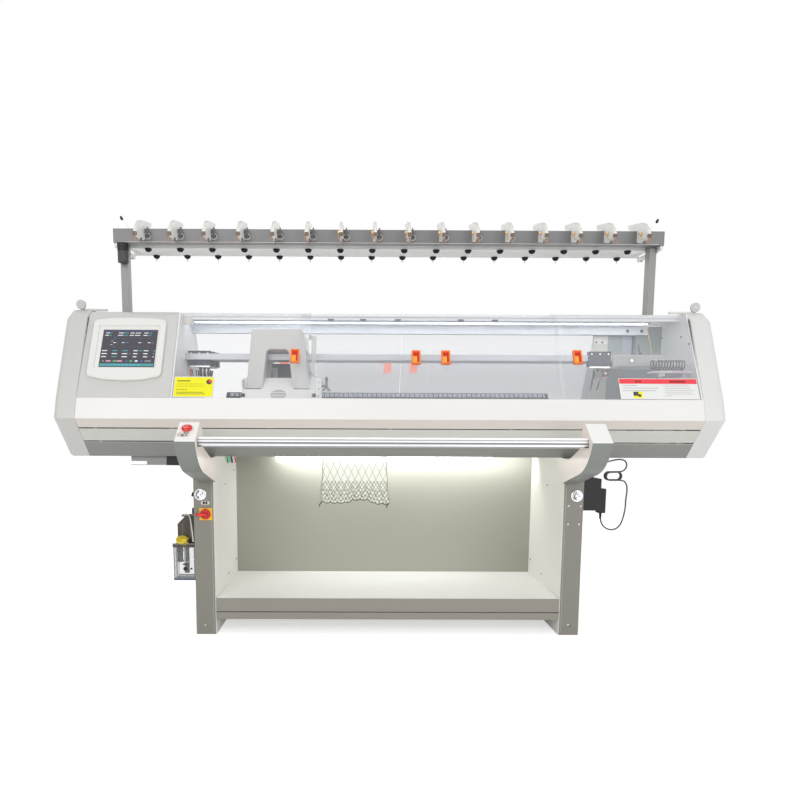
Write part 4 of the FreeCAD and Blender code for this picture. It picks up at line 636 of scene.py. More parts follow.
looks = [
    ("left_leg", "legPaint latchChrome switchYellow", 0.0015, legPick),
    ("right_leg", "legPaint latchChrome", 0.0015, legPick),
    ("bay_side_panels", "sidePaint", 0),
    ("back_panel", "bayPaint", 0),
    ("fabric_shelf", "shelfEnamel", 0.0012),
    ("bay_lamp", "lampTube", 0),
    ("machine_bed", "castingPaint", 0.002),
    ("needle_beds", "needleSteel", 0.0005),
    ("end_frames", "innerPaint", 0),
    ("carrier_rails", "railSteel", 0.0008),
    ("rail_stand", "beamPaint standPlatePaint bracketPaint screwSteel", 0.001, railStandPick),
    ("top_deck", "innerPaint", 0),
    ("front_band", "bandPaint", 0.003),
    ("front_apron", "apronPaint", 0.0015),
    ("rear_apron", "apronPaint", 0.0015),
    ("left_end_cap", "panelPaint", 0.006),
    ("right_end_cap", "rightCapPaint", 0.006),
    ("left_guide_wheel", "greyPlastic", 0.0015),
    ("right_guide_wheel", "greyPlastic", 0.0015),
    ("control_panel", "panelPaint", 0.001),
    ("screen_bezel", "bezelPlastic", 0.003),
    ("carriage_bridge", "carriagePaint", 0.005),
    ("carriage_covers", "camPaint blackPlastic", 0.003, narrower(0.03)),
    ("drive_pulley", "pulleyMetal", 0.001),
    ("idler_pulley", "pulleyMetal", 0.001),
    ("drive_belt", "rubberBlack", 0),
    ("front_take_down_roller", "rollerRubber", 0.0005),
    ("rear_take_down_roller", "rollerRubber", 0.0005),
    ("bar_arms", "armPaint blackPlastic", 0.002, narrower(0.05)),
    ("operating_bar", "barAluminium", 0.0008),
    ("emergency_button", "stopRed", 0.001),
    ("switch_handle", "switchDark", 0.001),
    ("left_latch", "latchChrome", 0.0008),
    ("right_latch", "latchChrome", 0.0008),
    ("yarn_stand", "standAluminium postAluminium whitePaint", 0.001, standPick),
    ("tension_units", "whitePlastic discPaint", 0.0008, lambda low, high: int(high.z <= 1.73)),
    ("cone_pins", "rubberBlack", 0),
    ("alarm_lamp", "lampGrey", 0.001),
    ("oil_tank", "tankClear", 0.001),
    ("oil_pump", "pumpPlastic capYellow", 0.0015, lambda low, high: int(low.z > 0.38 and high.z < 0.42)),
    ("drive_box", "darkPaint", 0.001),
    ("power_box", "blackPlastic", 0.0015),
    ("panel_screws", "darkScrew", 0.0005),
    ("guard_coil", "blackPlastic", 0),
]
for kind, names, edge, pick in (("yarn_carrier_%d", "carrierPlastic", 0.0008, None),
                                ("front_cover_%d", "clearCover pullOrange", 0.0006, narrower(0.1)),
                                ("rear_cover_%d", "rearCover pullSalmon", 0.0006, narrower(0.1))):
    looks += [(kind % number, names, edge, pick) for number in range(1, 5)]
for look in looks:
    remake(*look)
print("nodes painted")


# details that lie on leaning faces

class Face:
    # places on a leaning face of a node: x, height from the floor, and how far proud of it

    def __init__(self, node, lean, back=False, inset=0.0):
        self.out = Vector((0, -math.cos(lean), math.sin(lean)))
        self.up = Vector((0, math.sin(lean), math.cos(lean)))
        self.back = back
        self.reach = max(self.out.dot(self.turned(vert.co)) for vert in nodes[node].data.vertices) - inset

    def turned(self, spot):
        return Vector((spot[0], throat * 2 - spot[1], spot[2])) if self.back else Vector(spot)

    def spot(self, x, height, proud=0.0):
        base = self.out * (self.reach + proud)
        place = base + self.up * ((height - base.z) / self.up.z)
        return self.turned((x, place.y, place.z))

    def slab(self, form, x0, x1, low, high, under, over, paint=0):
        form.loft([[self.spot(x, height, proud) for height, proud in
                    ((low, over), (high, over), (high, under), (low, under))] for x in (x0, x1)], paint)

    def disc(self, form, x, height, radius, under, over, paint=0, sides=20):
        along = Vector((0, -self.up.y, self.up.z)) if self.back else self.up
        form.loft([ringRound(self.spot(x, height, proud), Vector((1, 0, 0)), along, radius, sides)
                   for proud in (under, over)], paint)


toFront, toBack, toTop, toFloor = (0, -1, 0), (0, 1, 0), (0, 0, 1), (0, 0, -1)


# touch screen

screenFacts = {"left": -1.184, "wide": 0.219, "top": 1.2775, "tall": 0.153, "proud": 0.0003, "dots": 7,
               "dotStart": 0.29, "dotPitch": 0.072, "dotDrop": 0.955, "dotRadius": 0.0022}


def screenCoat(name, colour):
    shade = Shade(name, Coat_Weight=0.4)
    shade.colour(mottled(shade, colour, 0.08, 12))
    shade.rough(shade.noise(40, 3), 0.18, 0.3)
    return shade.material


paintSet(screenCoat, screenGlass=((0.050, 0.046, 0.062),))
paintSet(glowing, screenWhite=((0.72, 0.74, 0.76), 0.25), screenTeal=((0.06, 0.30, 0.33), 0.2),
         screenBlue=((0.07, 0.11, 0.34), 0.25), screenCyan=((0.10, 0.62, 0.75), 0.3),
         screenGrey=((0.24, 0.24, 0.26), 0.1), screenRed=((0.60, 0.07, 0.06), 0.2),
         screenPink=((0.62, 0.28, 0.40), 0.2), screenGreen=((0.10, 0.42, 0.20), 0.2))
white, teal, blue, cyan, grey, red, pink, green = range(8)
screenRows = (
    # drop from the top and height as shares of the screen, then (start, end, paint) along its width
    (0.012, 0.010, ((0, 1, blue),)),
    (0.068, 0.020, ((0.04, 0.11, white), (0.12, 0.16, teal), (0.28, 0.38, white), (0.39, 0.47, teal),
                    (0.50, 0.58, white), (0.60, 0.70, white), (0.76, 0.84, white), (0.86, 0.91, teal))),
    (0.135, 0.020, ((0.03, 0.10, white), (0.11, 0.15, teal), (0.27, 0.37, white), (0.38, 0.46, teal),
                    (0.49, 0.57, white), (0.59, 0.69, white), (0.75, 0.83, white), (0.85, 0.90, teal))),
    (0.215, 0.012, ((0.06, 0.07, blue), (0.19, 0.26, blue), (0.38, 0.39, grey), (0.54, 0.55, blue),
                    (0.67, 0.74, blue), (0.86, 0.87, grey))),
    (0.295, 0.010, ((0.16, 0.19, white),)),
    (0.342, 0.018, ((0.20, 0.25, white), (0.28, 0.29, teal), (0.36, 0.41, white), (0.44, 0.48, teal),
                    (0.67, 0.73, white), (0.85, 0.90, white), (0.92, 0.96, teal))),
    (0.400, 0.010, ((0.15, 0.19, white),)),
    (0.460, 0.012, ((0.06, 0.07, blue), (0.19, 0.25, blue), (0.38, 0.39, grey), (0.54, 0.55, blue),
                    (0.67, 0.72, blue), (0.86, 0.87, grey))),
    (0.565, 0.024, ((0.01, 0.11, white), (0.20, 0.30, teal), (0.39, 0.50, teal), (0.60, 0.68, white),
                    (0.70, 0.76, teal), (0.79, 0.88, white), (0.98, 0.995, cyan))),
    (0.648, 0.024, ((0.01, 0.11, white), (0.20, 0.30, white), (0.39, 0.49, white), (0.53, 0.54, cyan),
                    (0.60, 0.68, white), (0.79, 0.87, white), (0.98, 0.995, cyan))),
    (0.732, 0.024, ((0.01, 0.10, white), (0.20, 0.30, teal), (0.39, 0.49, white), (0.60, 0.67, white),
                    (0.79, 0.87, white), (0.90, 0.91, red), (0.97, 0.99, white))),
    (0.850, 0.040, ((0.04, 0.08, grey), (0.11, 0.20, pink), (0.24, 0.30, green), (0.31, 0.41, pink),
                    (0.47, 0.51, blue), (0.55, 0.60, green), (0.65, 0.70, white), (0.75, 0.80, blue),
                    (0.83, 0.95, grey))),
    (0.955, 0.070, ((0, 1, teal),)),
)


def screenMarks(facts):
    face, form = Face("touch_screen", slopeLean), Form()
    left, wide, top, tall, proud = (facts[key] for key in ("left", "wide", "top", "tall", "proud"))
    for drop, height, marks in screenRows:
        middle, half = top - tall * drop, tall * height / 2
        for start, end, paint in marks:
            face.slab(form, left + wide * start, left + wide * end, middle - half, middle + half, 0, proud, paint)
    for number in range(facts["dots"]):
        face.disc(form, left + wide * (facts["dotStart"] + facts["dotPitch"] * number), top - tall * facts["dotDrop"],
                  facts["dotRadius"], 0.0002, proud * 2, cyan, 12)
    form.make("screenMarks", "machine", "screen_glass",
              "screenWhite screenTeal screenBlue screenCyan screenGrey screenRed screenPink screenGreen")


remake("touch_screen", "screenGlass", 0.0005)
screenMarks(screenFacts)
print("screen drawn")


# cards on the covers, and the wells inside the pulls, coloured with painted shade and light

cardFacts = {"thick": 0.0007, "ink": 0.0003, "low": 1.0, "high": 1.085}
yellowSpan, whiteSpan = (-0.875, -0.713), (0.928, 1.247)
pullFacts = {"proud": 0.012, "pocket": 0.009, "rim": 0.006, "lip": 0.010}
paintSet(moulded, cardYellow=((0.90, 0.86, 0.005), 0.4, 0.02), cardWhite=((0.84, 0.84, 0.83), 0.4, 0.02),
         cardRed=((0.90, 0.06, 0.08), 0.4, 0.02), cardMaroon=((0.26, 0.02, 0.02), 0.5, 0.02),
         cardInk=(0.05, 0.5, 0.03), cardGrey=(0.52, 0.5, 0.03), cardFaint=((0.62, 0.58, 0.02), 0.5, 0.03),
         cardOlive=((0.30, 0.28, 0.03), 0.5, 0.03), cardEdge=((0.72, 0.68, 0.78), 0.4, 0.02),
         pullRed=((0.62, 0.03, 0.015), 0.4, 0.03), pullAmber=((0.92, 0.42, 0.05), 0.35, 0.03))


def strokes(face, form, corner, rows, tall, levels, paint):
    # level bars: distance from the card's left edge, drop from its top, length
    left, top = corner
    for along, drop, wide in rows:
        face.slab(form, left + along, left + along + wide, top - drop - tall, top - drop, *levels, paint)


def yellowCard(facts):
    # the pulls stand proud of the sheet, which is what the card lies on
    face, form = Face("front_cover_1", slopeLean, inset=pullFacts["proud"]), Form()
    (left, right), low, high, thick, ink = yellowSpan, facts["low"], facts["high"], facts["thick"], facts["ink"]
    face.slab(form, left, right, low, high, 0.0001, thick, 1)
    face.slab(form, left + 0.003, right - 0.003, low + 0.003, high - 0.003, thick / 2, thick + ink)
    corner, levels = (left, high), (thick, thick + ink * 2)
    # a heading, faint lines, a row of dots, two more lines and a plain disc
    strokes(face, form, corner, ((0.014, 0.0155, 0.052),), 0.0055, levels, 4)
    strokes(face, form, corner, ((0.014, 0.029, 0.106), (0.014, 0.0345, 0.112), (0.014, 0.04, 0.108)), 0.0018,
            levels, 3)
    for number in range(4):
        face.disc(form, left + 0.016 + number * 0.0115, high - 0.0535, 0.0026, *levels, 2, 12)
    strokes(face, form, corner, ((0.014, 0.0635, 0.108), (0.014, 0.07, 0.116)), 0.0028, levels, 4)
    face.disc(form, right - 0.020, high - 0.022, 0.0115, *levels, 2, 24)
    face.disc(form, right - 0.016, high - 0.020, 0.0062, thick, thick + ink * 3, 5)
    form.make("yellowCard", "cover_1", "clear_cover", "cardYellow cardEdge cardInk cardFaint cardOlive cardRed")


def whiteCard(facts):
    face, form = Face("front_cover_4", slopeLean, inset=pullFacts["proud"]), Form()
    (left, right), low, high, thick, ink = whiteSpan, facts["low"], facts["high"], facts["thick"], facts["ink"]
    face.slab(form, left, right, low, high, 0.0001, thick)
    face.slab(form, left + 0.002, right - 0.002, high - 0.022, high - 0.002, thick / 2, thick + ink, 1)
    corner, levels, above = (left, high), (thick / 2, thick + ink * 2), (thick / 2, thick + ink * 3)
    # two columns of faint lines, marks on the red bar, a yellow field with a dark corner
    strokes(face, form, corner, [(0.012, 0.028 + row * 0.0105, wide)
                                 for row, wide in enumerate((0.060, 0.146, 0.134))], 0.0026, levels, 3)
    lengths = (0.104, 0.096, 0.112, 0.118, 0.110, 0.116, 0.030)
    strokes(face, form, corner, [((0.178, 0.186)[row % 2], 0.026 + row * 0.0072, wide)
                                 for row, wide in enumerate(lengths)], 0.0018, levels, 3)
    strokes(face, form, corner, [(along, 0.0085, wide) for along, wide in ((0.066, 0.011), (0.081, 0.011),
                                                                           (0.206, 0.066))], 0.008, levels, 5)
    face.slab(form, left + 0.053, left + 0.090, low + 0.005, low + 0.031, *levels, 2)
    face.slab(form, left + 0.053, left + 0.073, low + 0.014, low + 0.030, *above, 4)
    face.disc(form, left + 0.077, low + 0.015, 0.0065, *above, 4, 16)
    form.make("whiteCard", "cover_4", "clear_cover", "cardWhite cardRed cardYellow cardGrey cardInk cardMaroon")


def cupsOf(node):
    # the lowest and highest corners of a node's small solids
    work = solidsOf(node)
    boxes = [(low, high) for low, high in map(cornersOf, islandsOf(work)) if high.x - low.x < 0.1]
    work.free()
    return boxes


def pullWells(node, body, back=False):
    face, form = Face(node, slopeLean, back), Form()
    floor, rim, lip = pullFacts["pocket"], pullFacts["rim"], pullFacts["lip"]
    for low, high in cupsOf(node):
        x0, x1, base, head = low.x + rim, high.x - rim, low.z + lip, high.z - lip
        # a dark red recess of painted shade, with an amber step of painted light filling its lower left
        face.slab(form, x0, x1, base, head, -floor - 0.0005, -floor + 0.0006)
        face.slab(form, x0, x1 - (x1 - x0) * 0.34, base, base + (head - base) * 0.62, -floor - 0.0005, -0.003, 1)
    form.make(node + "Wells", body, "clear_cover", "pullRed pullAmber", 0.0006)


for number in range(1, 5):
    pullWells("front_cover_%d" % number, "cover_%d" % number)
    pullWells("rear_cover_%d" % number, "back_cover_%d" % number, True)
yellowCard(cardFacts)
whiteCard(cardFacts)
print("cards and pulls drawn")


# needles in both beds

needleFacts = {"pitch": 0.0042, "wide": 0.0016, "proud": 0.0011, "sunk": -0.0004, "reach": 0.700, "low": 0.925,
               "tip": 1.014, "high": 1.0305, "dip": 0.0016, "buttLow": 0.958, "buttHigh": 0.963, "butt": 0.0019,
               "bars": (0.944, 0.975, 1.012), "bar": 0.0035}
paintSet(brushed, needleShank=((0.035, 0.045, 0.07), 0.45), needleTip=((0.74, 0.76, 0.79), 0.4))
paintSet(moulded, needleDark=((0.05, 0.05, 0.055), 0.5))


def needleRow(name, back, shift, facts):
    face, form = Face("needle_beds", bedLean, back), Form()
    reach, half, tip, sunk, proud = facts["reach"], facts["wide"] / 2, facts["tip"], facts["sunk"], facts["proud"]
    for number in range(int(reach * 2 / facts["pitch"])):
        x = -reach + facts["pitch"] * (number + 0.5 + shift)
        # every fifth needle stands lower and dark
        dipped = number % 5 == 0
        for row in ((facts["low"], tip, sunk, proud, 0),
                    (tip, facts["high"] - facts["dip"] * dipped, sunk, proud, 1 if dipped else 2),
                    (facts["buttLow"], facts["buttHigh"], 0, facts["butt"], 0)):
            face.slab(form, x - half, x + half, *row)
    for height in facts["bars"]:
        face.slab(form, -reach, reach, height, height + facts["bar"], sunk, proud + 0.0003, 1)
    form.make(name, "machine", "needle_steel", "needleShank needleDark needleTip")


needleRow("frontNeedles", False, 0, needleFacts)
needleRow("rearNeedles", True, 0.5, needleFacts)
print("needles set")


# hanging cloth: open lace with rows of diamonds

clothFacts = {"left": -0.284, "right": -0.003, "flare": 0.013, "top": 1.030, "flat": 0.80, "hem": 0.541,
              "arch": 0.019, "archShare": 0.58, "fold": 0.006, "swell": 0.016, "across": 96, "down": 170,
              "diamond": (0.0318, 0.068), "small": (0.0159, 0.026), "lacy": (0.726, 0.640)}


def laceKnit(name, facts):
    shade = Shade(name, Sheen_Weight=0.3, Emission_Strength=0.4)
    x, y, z = shade.places()
    sway = (shade.noise(16, 3) - 0.5) * 0.006
    x, z = x + sway, z + sway

    def lattice(size, line):
        wide, tall = size
        first = ((x / wide + z / tall).wrap(1.0) - 0.5).size()
        second = ((x / wide - z / tall).wrap(1.0) - 0.5).size()
        return shade.maths("MAXIMUM", first > 0.5 - line, second > 0.5 - line)

    lower = z < facts["lacy"][1]
    large = lattice(facts["diamond"], 0.032) * (z < facts["lacy"][0])
    lines = shade.maths("MAXIMUM", large, lattice(facts["small"], 0.085) * lower)
    stitch = shade.maths("MULTIPLY", (x.wrap(0.0032) - 0.0016).size() < 0.0009,
                         (z.wrap(0.0036) - 0.0018).size() < 0.0011)
    cream = mottled(shade, (0.90, 0.92, 0.85), 0.03, 30)
    shadow = shade.mixed(lower, (0.34, 0.36, 0.27), (0.27, 0.28, 0.19))
    shade.colour(shade.mixed(lines, cream, shadow))
    # lamplight that comes through the open stitches, but not through the yarn
    shade.put(shade.surface.inputs["Emission Color"], shade.mixed(lines, cream, (0.05, 0.05, 0.03)))
    shade.put(shade.surface.inputs["Alpha"], shade.maths("MAXIMUM", lines * 0.85, 0.75 - stitch * 0.4))
    shade.rough(shade.noise(90, 2), 0.75, 0.95)
    shade.bump(lines + (1 - stitch) * 0.4, 0.0008)
    return shade.material


paintSet(laceKnit, laceKnit=(clothFacts,))
paintSet(moulded, hemYarn=((0.12, 0.12, 0.075), 0.9, 0.12, 0.5, 0.0002),
         edgeYarn=((0.30, 0.31, 0.23), 0.9, 0.1, 0.5, 0.0002))


def clothSpot(share, drop, facts):
    # the hem rises in an arch right of the middle and ripples along its edge
    away = share - facts["archShare"]
    low = (facts["hem"] + facts["arch"] * math.exp(-(away / 0.17) ** 4) - 0.006 * share
           + 0.0035 * math.sin(share * 58))
    z = facts["top"] + (low - facts["top"]) * drop
    loose = max(0.0, (facts["flat"] - z) / (facts["flat"] - facts["hem"]))
    spread = facts["flare"] * loose ** 1.5
    left, right = facts["left"] - spread, facts["right"] + spread
    x = left + (right - left) * share + 0.003 * loose * math.sin(z * 60)
    wave = math.sin(share * 19 + 0.8 * math.sin(z * 14)) * facts["fold"] * loose
    swell = facts["swell"] * loose ** 2 * math.exp(-(away / 0.2) ** 2)
    curl = 0.004 * loose ** 3 * math.sin(share * 61 + z * 25)
    return Vector((x, throat + wave - swell + curl, z))


def clothHem(facts):
    # the bound hem, three tucks above it, both side edges and the loose ends at the corners
    form, steps = Form(), 120
    tucks = [(level, 0.006, 0.62, 0, radius, 6)
             for level, radius in ((0.965, 0.0012), (0.925, 0.001), (0.885, 0.0009))]
    for level, ripple, turn, shift, radius, sides in [(1, 0, 0, 0.0012, 0.0021, 8)] + tucks:
        form.wire([clothSpot(number / steps, level + ripple * math.sin(number * turn), facts)
                   + Vector((0, shift * math.sin(number * 1.9), 0)) for number in range(steps + 1)], radius, 0, sides)
    for share in (0, 1):
        form.wire([clothSpot(share, 0.42 + 0.58 * number / 60, facts)
                   + Vector((0.0012 * math.sin(number * 0.9), 0, 0)) for number in range(61)], 0.0017, 1, 6)
    for share, sway in ((0, -0.011), (1, -0.012)):
        start = clothSpot(share, 1, facts)
        form.wire([start + Vector(step) for step in ((0, 0, 0), (sway * 0.4, -0.002, -0.006), (sway, -0.001, -0.013),
                                                     (sway * 0.8, 0.001, -0.021))], 0.0026)
    return form.make("clothHem", "machine", "cloth_yarn", "hemYarn edgeYarn")


def hangingCloth(facts):
    wide, tall = facts["across"], facts["down"]
    spots = [clothSpot(column / wide, row / tall, facts) for row in range(tall + 1) for column in range(wide + 1)]
    starts = [row * (wide + 1) + column for row in range(tall) for column in range(wide)]
    mesh = bpy.data.meshes.new("laceCloth")
    mesh.from_pydata(spots, [], [(start, start + 1, start + wide + 2, start + wide + 1) for start in starts])
    mesh.polygons.foreach_set("use_smooth", [True] * len(starts))
    cloth = addPiece("laceCloth", mesh, "machine", "laceKnit")
    hem = clothHem(facts)
    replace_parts(cloth, "knitted_cloth")


hangingCloth(clothFacts)
print("cloth hung")


# tension arms on the yarn beam

armFacts = {"count": 16, "pitch": 0.140, "shift": 0.008, "front": -0.055, "low": 1.660, "wide": 0.0134,
            "disc": 0.020, "beamFront": 0.060, "discHeight": 1.694}
armRim = ((-0.051, 1.6745), (-0.032, 1.7025), (-0.014, 1.7195), (0.008, 1.7305), (0.032, 1.7387),
          (0.070, 1.7463), (0.110, 1.7540), (0.150, 1.7616))
paintSet(moulded, tipBrown=((0.17, 0.14, 0.12), 0.5, 0.06), armPearl=((0.74, 0.72, 0.66), 0.4, 0.03),
         discGrey=((0.15, 0.15, 0.155), 0.45))
paintSet(brushed, ringBronze=((0.30, 0.20, 0.15), 0.35), springBrass=((0.72, 0.46, 0.20), 0.3))


def tensionFittings(facts):
    form = Form()
    front, low, half = facts["front"], facts["low"], facts["wide"] / 2
    beam, level = facts["beamFront"], facts["discHeight"]
    for number in range(facts["count"]):
        x = facts["pitch"] * (number - (facts["count"] - 1) / 2) + facts["shift"]
        # tip block, raised rim along the brow, small screws on the side
        form.box((x - half - 0.0008, front - 0.004, low - 0.002), (x + half + 0.0008, front + 0.010, low + 0.011))
        for side in (-0.55, 0.55):
            form.wire([(x + half * side, y, z) for y, z in armRim], 0.0014, 3, 6)
        for y, z in ((0.128, 1.748), (0.094, 1.724), (0.070, 1.724)):
            form.disc((x - half - 0.0014, y, z), (1, 0, 0), 0.0032, half * 2 + 0.0028, 5, 10)
        # eyelets hang from the tip
        hang = (x - 0.004, front - 0.008, low - 0.022)
        form.wire(around(hang, 0.0078, 14, 0.0088), 0.0019, 1, 8, True)
        form.wire([(hang[0], hang[1], hang[2] + 0.0085), (hang[0] + 0.001, front - 0.006, low - 0.006),
                   (x, front + 0.001, low + 0.002)], 0.0012, 1, 6)
        form.wire(around((x + 0.002, front - 0.0065, low + 0.004), 0.0055, 12), 0.0013, 1, 6, True)
        # a knob with a spring wire round to the eyelet
        knob = (x - half, 0.012, 1.690)
        form.turned(knob, (-1, 0, 0), ((0, 0.0062), (0.006, 0.0066), (0.009, 0.005), (0.0105, 0.0025)), 16, 2)
        form.turned(knob, (-1, 0, 0), ((0.0095, 0.003), (0.0115, 0.0026)), 12)
        form.wire([(x - half - 0.004, 0.012, 1.684), (x - half - 0.006, 0.004, 1.668),
                   (x - half - 0.002, -0.016, 1.657), (x - 0.003, -0.038, 1.652), (x, front + 0.001, low)],
                  0.0012, 2, 6)
        form.box((x + half - 0.004, 0.004, low - 0.013), (x + half + 0.003, 0.012, low + 0.003))
        # clip loops beside the disc
        disc = x + facts["disc"]
        form.wire(around((disc, beam - 0.0105, level - 0.014), 0.0135, 16, 0.012), 0.0011, 3, 6, True)
        form.box((disc - 0.003, beam - 0.010, level + 0.008), (disc + 0.003, beam + 0.002, 1.7185), 4)
    form.make("tensionFittings", "machine", "tension_plastic",
              "tipBrown ringBronze springBrass armPearl discGrey screwSteel", 0.0004)


standFacts = {"reach": 1.168, "low": 1.656, "high": 1.714, "front": 0.060, "back": 0.095, "inset": 0.0005}
paintSet(moulded, beamEnd=((0.20, 0.18, 0.17), 0.5))


def standTrim(facts):
    form = Form()
    low, high, front, back, inset = (facts[key] for key in ("low", "high", "front", "back", "inset"))
    # the alarm lamp's dark upper half
    form.turned((-1.134, 0.070, 1.622), toTop, ((0, 0.0224), (0.002, 0.023), (0.034, 0.023)), 32, 1)

    def sideBox(side, near, far, depths, heights, paint=0):
        x0, x1 = sorted((near * side, far * side))
        form.box((x0, depths[0], heights[0]), (x1, depths[1], heights[1]), paint)

    for side in (-1, 1):
        sideBox(side, facts["reach"], facts["reach"] + 0.0022, (front + inset, back - inset),
                (low + inset, high - inset))
        form.disc(((facts["reach"] - 0.004) * side, front + 0.006, low - 0.0005), toFloor, 0.0045, 0.004, 1)
        # side arms back to the cone bars
        sideBox(side, 1.156, 1.168, (0.062, 0.283), (1.6395, 1.656), 2)
        sideBox(side, 1.149, 1.157, (0.1405, 0.2825), (1.640, 1.654), 2)
        for y in (0.118, 0.262):
            form.disc((1.162 * side, y, 1.6398), toFloor, 0.005, 0.0022, 1)
        # end stop with a ball on a wire
        form.wire([(1.090 * side, 0.058, 1.700), (1.104 * side, 0.040, 1.722), (1.118 * side, 0.030, 1.742)],
                  0.0014, 3, 6)
        form.turned((1.118 * side, 0.030, 1.738), (0.35 * side, -0.25, 0.9),
                    ((0, 0.002), (0.003, 0.0052), (0.010, 0.0058), (0.016, 0.0035), (0.018, 0.001)), 12, 1)
    # thin light lines along the cone bars and the beam's foot
    form.box((-1.148, 0.1385, 1.6665), (1.148, 0.1405, 1.6675), 3)
    form.box((-1.148, 0.0592, 1.6585), (1.148, 0.0602, 1.6605), 4)
    form.make("standTrim", "machine", "stand_aluminium",
              "beamEnd blackPlastic whitePaint screwSteel armPearl", 0.0005)


def coneTips():
    # white pins under the dark domes
    form = Form()
    for low, high in cupsOf("cone_pins"):
        form.turned(((low.x + high.x) / 2, (low.y + high.y) / 2, low.z + 0.0005), toFloor,
                    ((0, 0.003), (0.005, 0.0026), (0.012, 0.0012)), 10)
    form.make("coneTips", "machine", "cone_rubber", "whitePlastic")


tensionFittings(armFacts)
standTrim(standFacts)
coneTips()
print("yarn stand fitted")


# carriage details

carriageFacts = {"middle": -0.471, "coverProud": 0.009, "ventX": -0.465, "ventHeight": 1.016, "ventRadius": 0.033,
                 "slots": 7, "slotHalf": 0.0013}
paintSet(moulded, slotDark=(0.09, 0.6), wireBlue=((0.05, 0.16, 0.50), 0.4))
paintSet(enamel, boxSlate=((0.12, 0.13, 0.15), 0.5))
paintSet(clearSheet, strapPale=((0.66, 0.72, 0.66), 0.55, 0.3))


def carriageTrim(facts):
    face, form = Face("carriage_covers", bedLean, inset=facts["coverProud"]), Form()
    radius, ventX, middle = facts["ventRadius"], facts["ventX"], facts["middle"]
    for number in range(facts["slots"]):
        away = (number - (facts["slots"] - 1) / 2) * radius * 2 / facts["slots"]
        height, half = facts["ventHeight"] + away * math.cos(bedLean), math.sqrt(radius ** 2 - away ** 2)
        face.slab(form, ventX - half, ventX + half, height - facts["slotHalf"], height + facts["slotHalf"],
                  -0.0008, 0.0003)
    # dark strips along the lower front edges of the carriage's feet: painted shade in the gap where they stand on the
    # bed
    for left, right in ((-0.139, -0.069), (0.069, 0.139)):
        form.box((middle + left, -0.0222, 1.0405), (middle + right, -0.019, 1.044))
    # gearbox in the rear arch, small bracket at the left, upright panel and pale strap at the right
    for low, high, paint in (((-0.540, 0.224, 1.045), (-0.402, 0.262, 1.150), 1),
                             ((-0.530, 0.220, 1.150), (-0.412, 0.262, 1.168), 1),
                             ((-0.523, 0.2205, 1.070), (-0.498, 0.224, 1.150), 2),
                             ((-0.6195, -0.032, 1.048), (-0.608, -0.018, 1.080), 3),
                             ((-0.3056, -0.060, 1.001), (-0.283, -0.023, 1.086), 4),
                             ((-0.307, -0.0615, 1.078), (-0.2815, -0.021, 1.084), 4),
                             ((-0.3395, -0.004, 1.250), (-0.327, 0.010, 1.268), 3)):
        form.box(low, high, paint)
    form.disc((-0.458, 0.2245, 1.090), toFront, 0.006, 0.003)
    for height in (1.012, 1.040, 1.068):
        form.disc((-0.294, -0.0602, height), toFront, 0.0026, 0.0012)
    # the yarn trap: a dark knob on its pin, with three short feelers
    form.disc((-0.2835, -0.045, 1.052), (1, 0, 0), 0.0045, 0.022)
    form.turned((-0.262, -0.050, 1.046), toTop, ((0, 0.005), (0.014, 0.0065), (0.024, 0.0035), (0.030, 0.0065),
                                                 (0.036, 0.0075), (0.042, 0.0055), (0.045, 0.002)), 16)
    for radius, paint, points in (
            (0.0036, 0, ((-0.262, -0.050, 1.052), (-0.256, -0.058, 1.040), (-0.246, -0.064, 1.032))),
            (0.0036, 0, ((-0.262, -0.050, 1.052), (-0.270, -0.058, 1.040), (-0.279, -0.060, 1.033))),
            (0.0032, 2, ((-0.262, -0.052, 1.044), (-0.262, -0.062, 1.030))),
            (0.0016, 5, ((-0.336, -0.010, 1.118), (-0.322, -0.030, 1.098), (-0.300, -0.044, 1.088),
                         (-0.284, -0.052, 1.072), (-0.272, -0.054, 1.056)))):
        form.wire(points, radius, paint)
    form.make("carriageTrim", "carriage", "carriage_paint",
              "slotDark boxSlate greyPlastic bracketPaint camPaint wireBlue", 0.0006)


def carriageStrap():
    form = Form()
    form.prism([(-0.3275, 1.266), (-0.3050, 1.262), (-0.3090, 1.180), (-0.3130, 1.100), (-0.3330, 1.094),
                (-0.3290, 1.180)], 0, 0.0016)
    form.make("carriageStrap", "carriage", "carriage_paint", "strapPale")


carriageTrim(carriageFacts)
carriageStrap()
print("carriage detailed")


# yarn carriers: fanned feeders with white tubes

carrierFacts = {"low": 1.131, "bend": 1.116, "knee": 1.098, "elbow": 1.070, "tip": 1.0475, "spread": 0.017,
                "tube": 0.0021, "half": 0.048, "front": 0.014, "tipPitch": 0.007,
                "depths": (0.065, 0.105, 0.145, 0.185), "lefts": (0.867, -0.872, -0.863, -0.854)}
feederPlaces = ((-1, 1), (-2, -1, 1, 2), (-1.5, 1.5), (-1, 1))
paintSet(moulded, feederDark=((0.035, 0.038, 0.05), 0.45), feederRed=((0.62, 0.10, 0.08), 0.4),
         feederPink=((0.66, 0.30, 0.34), 0.4))


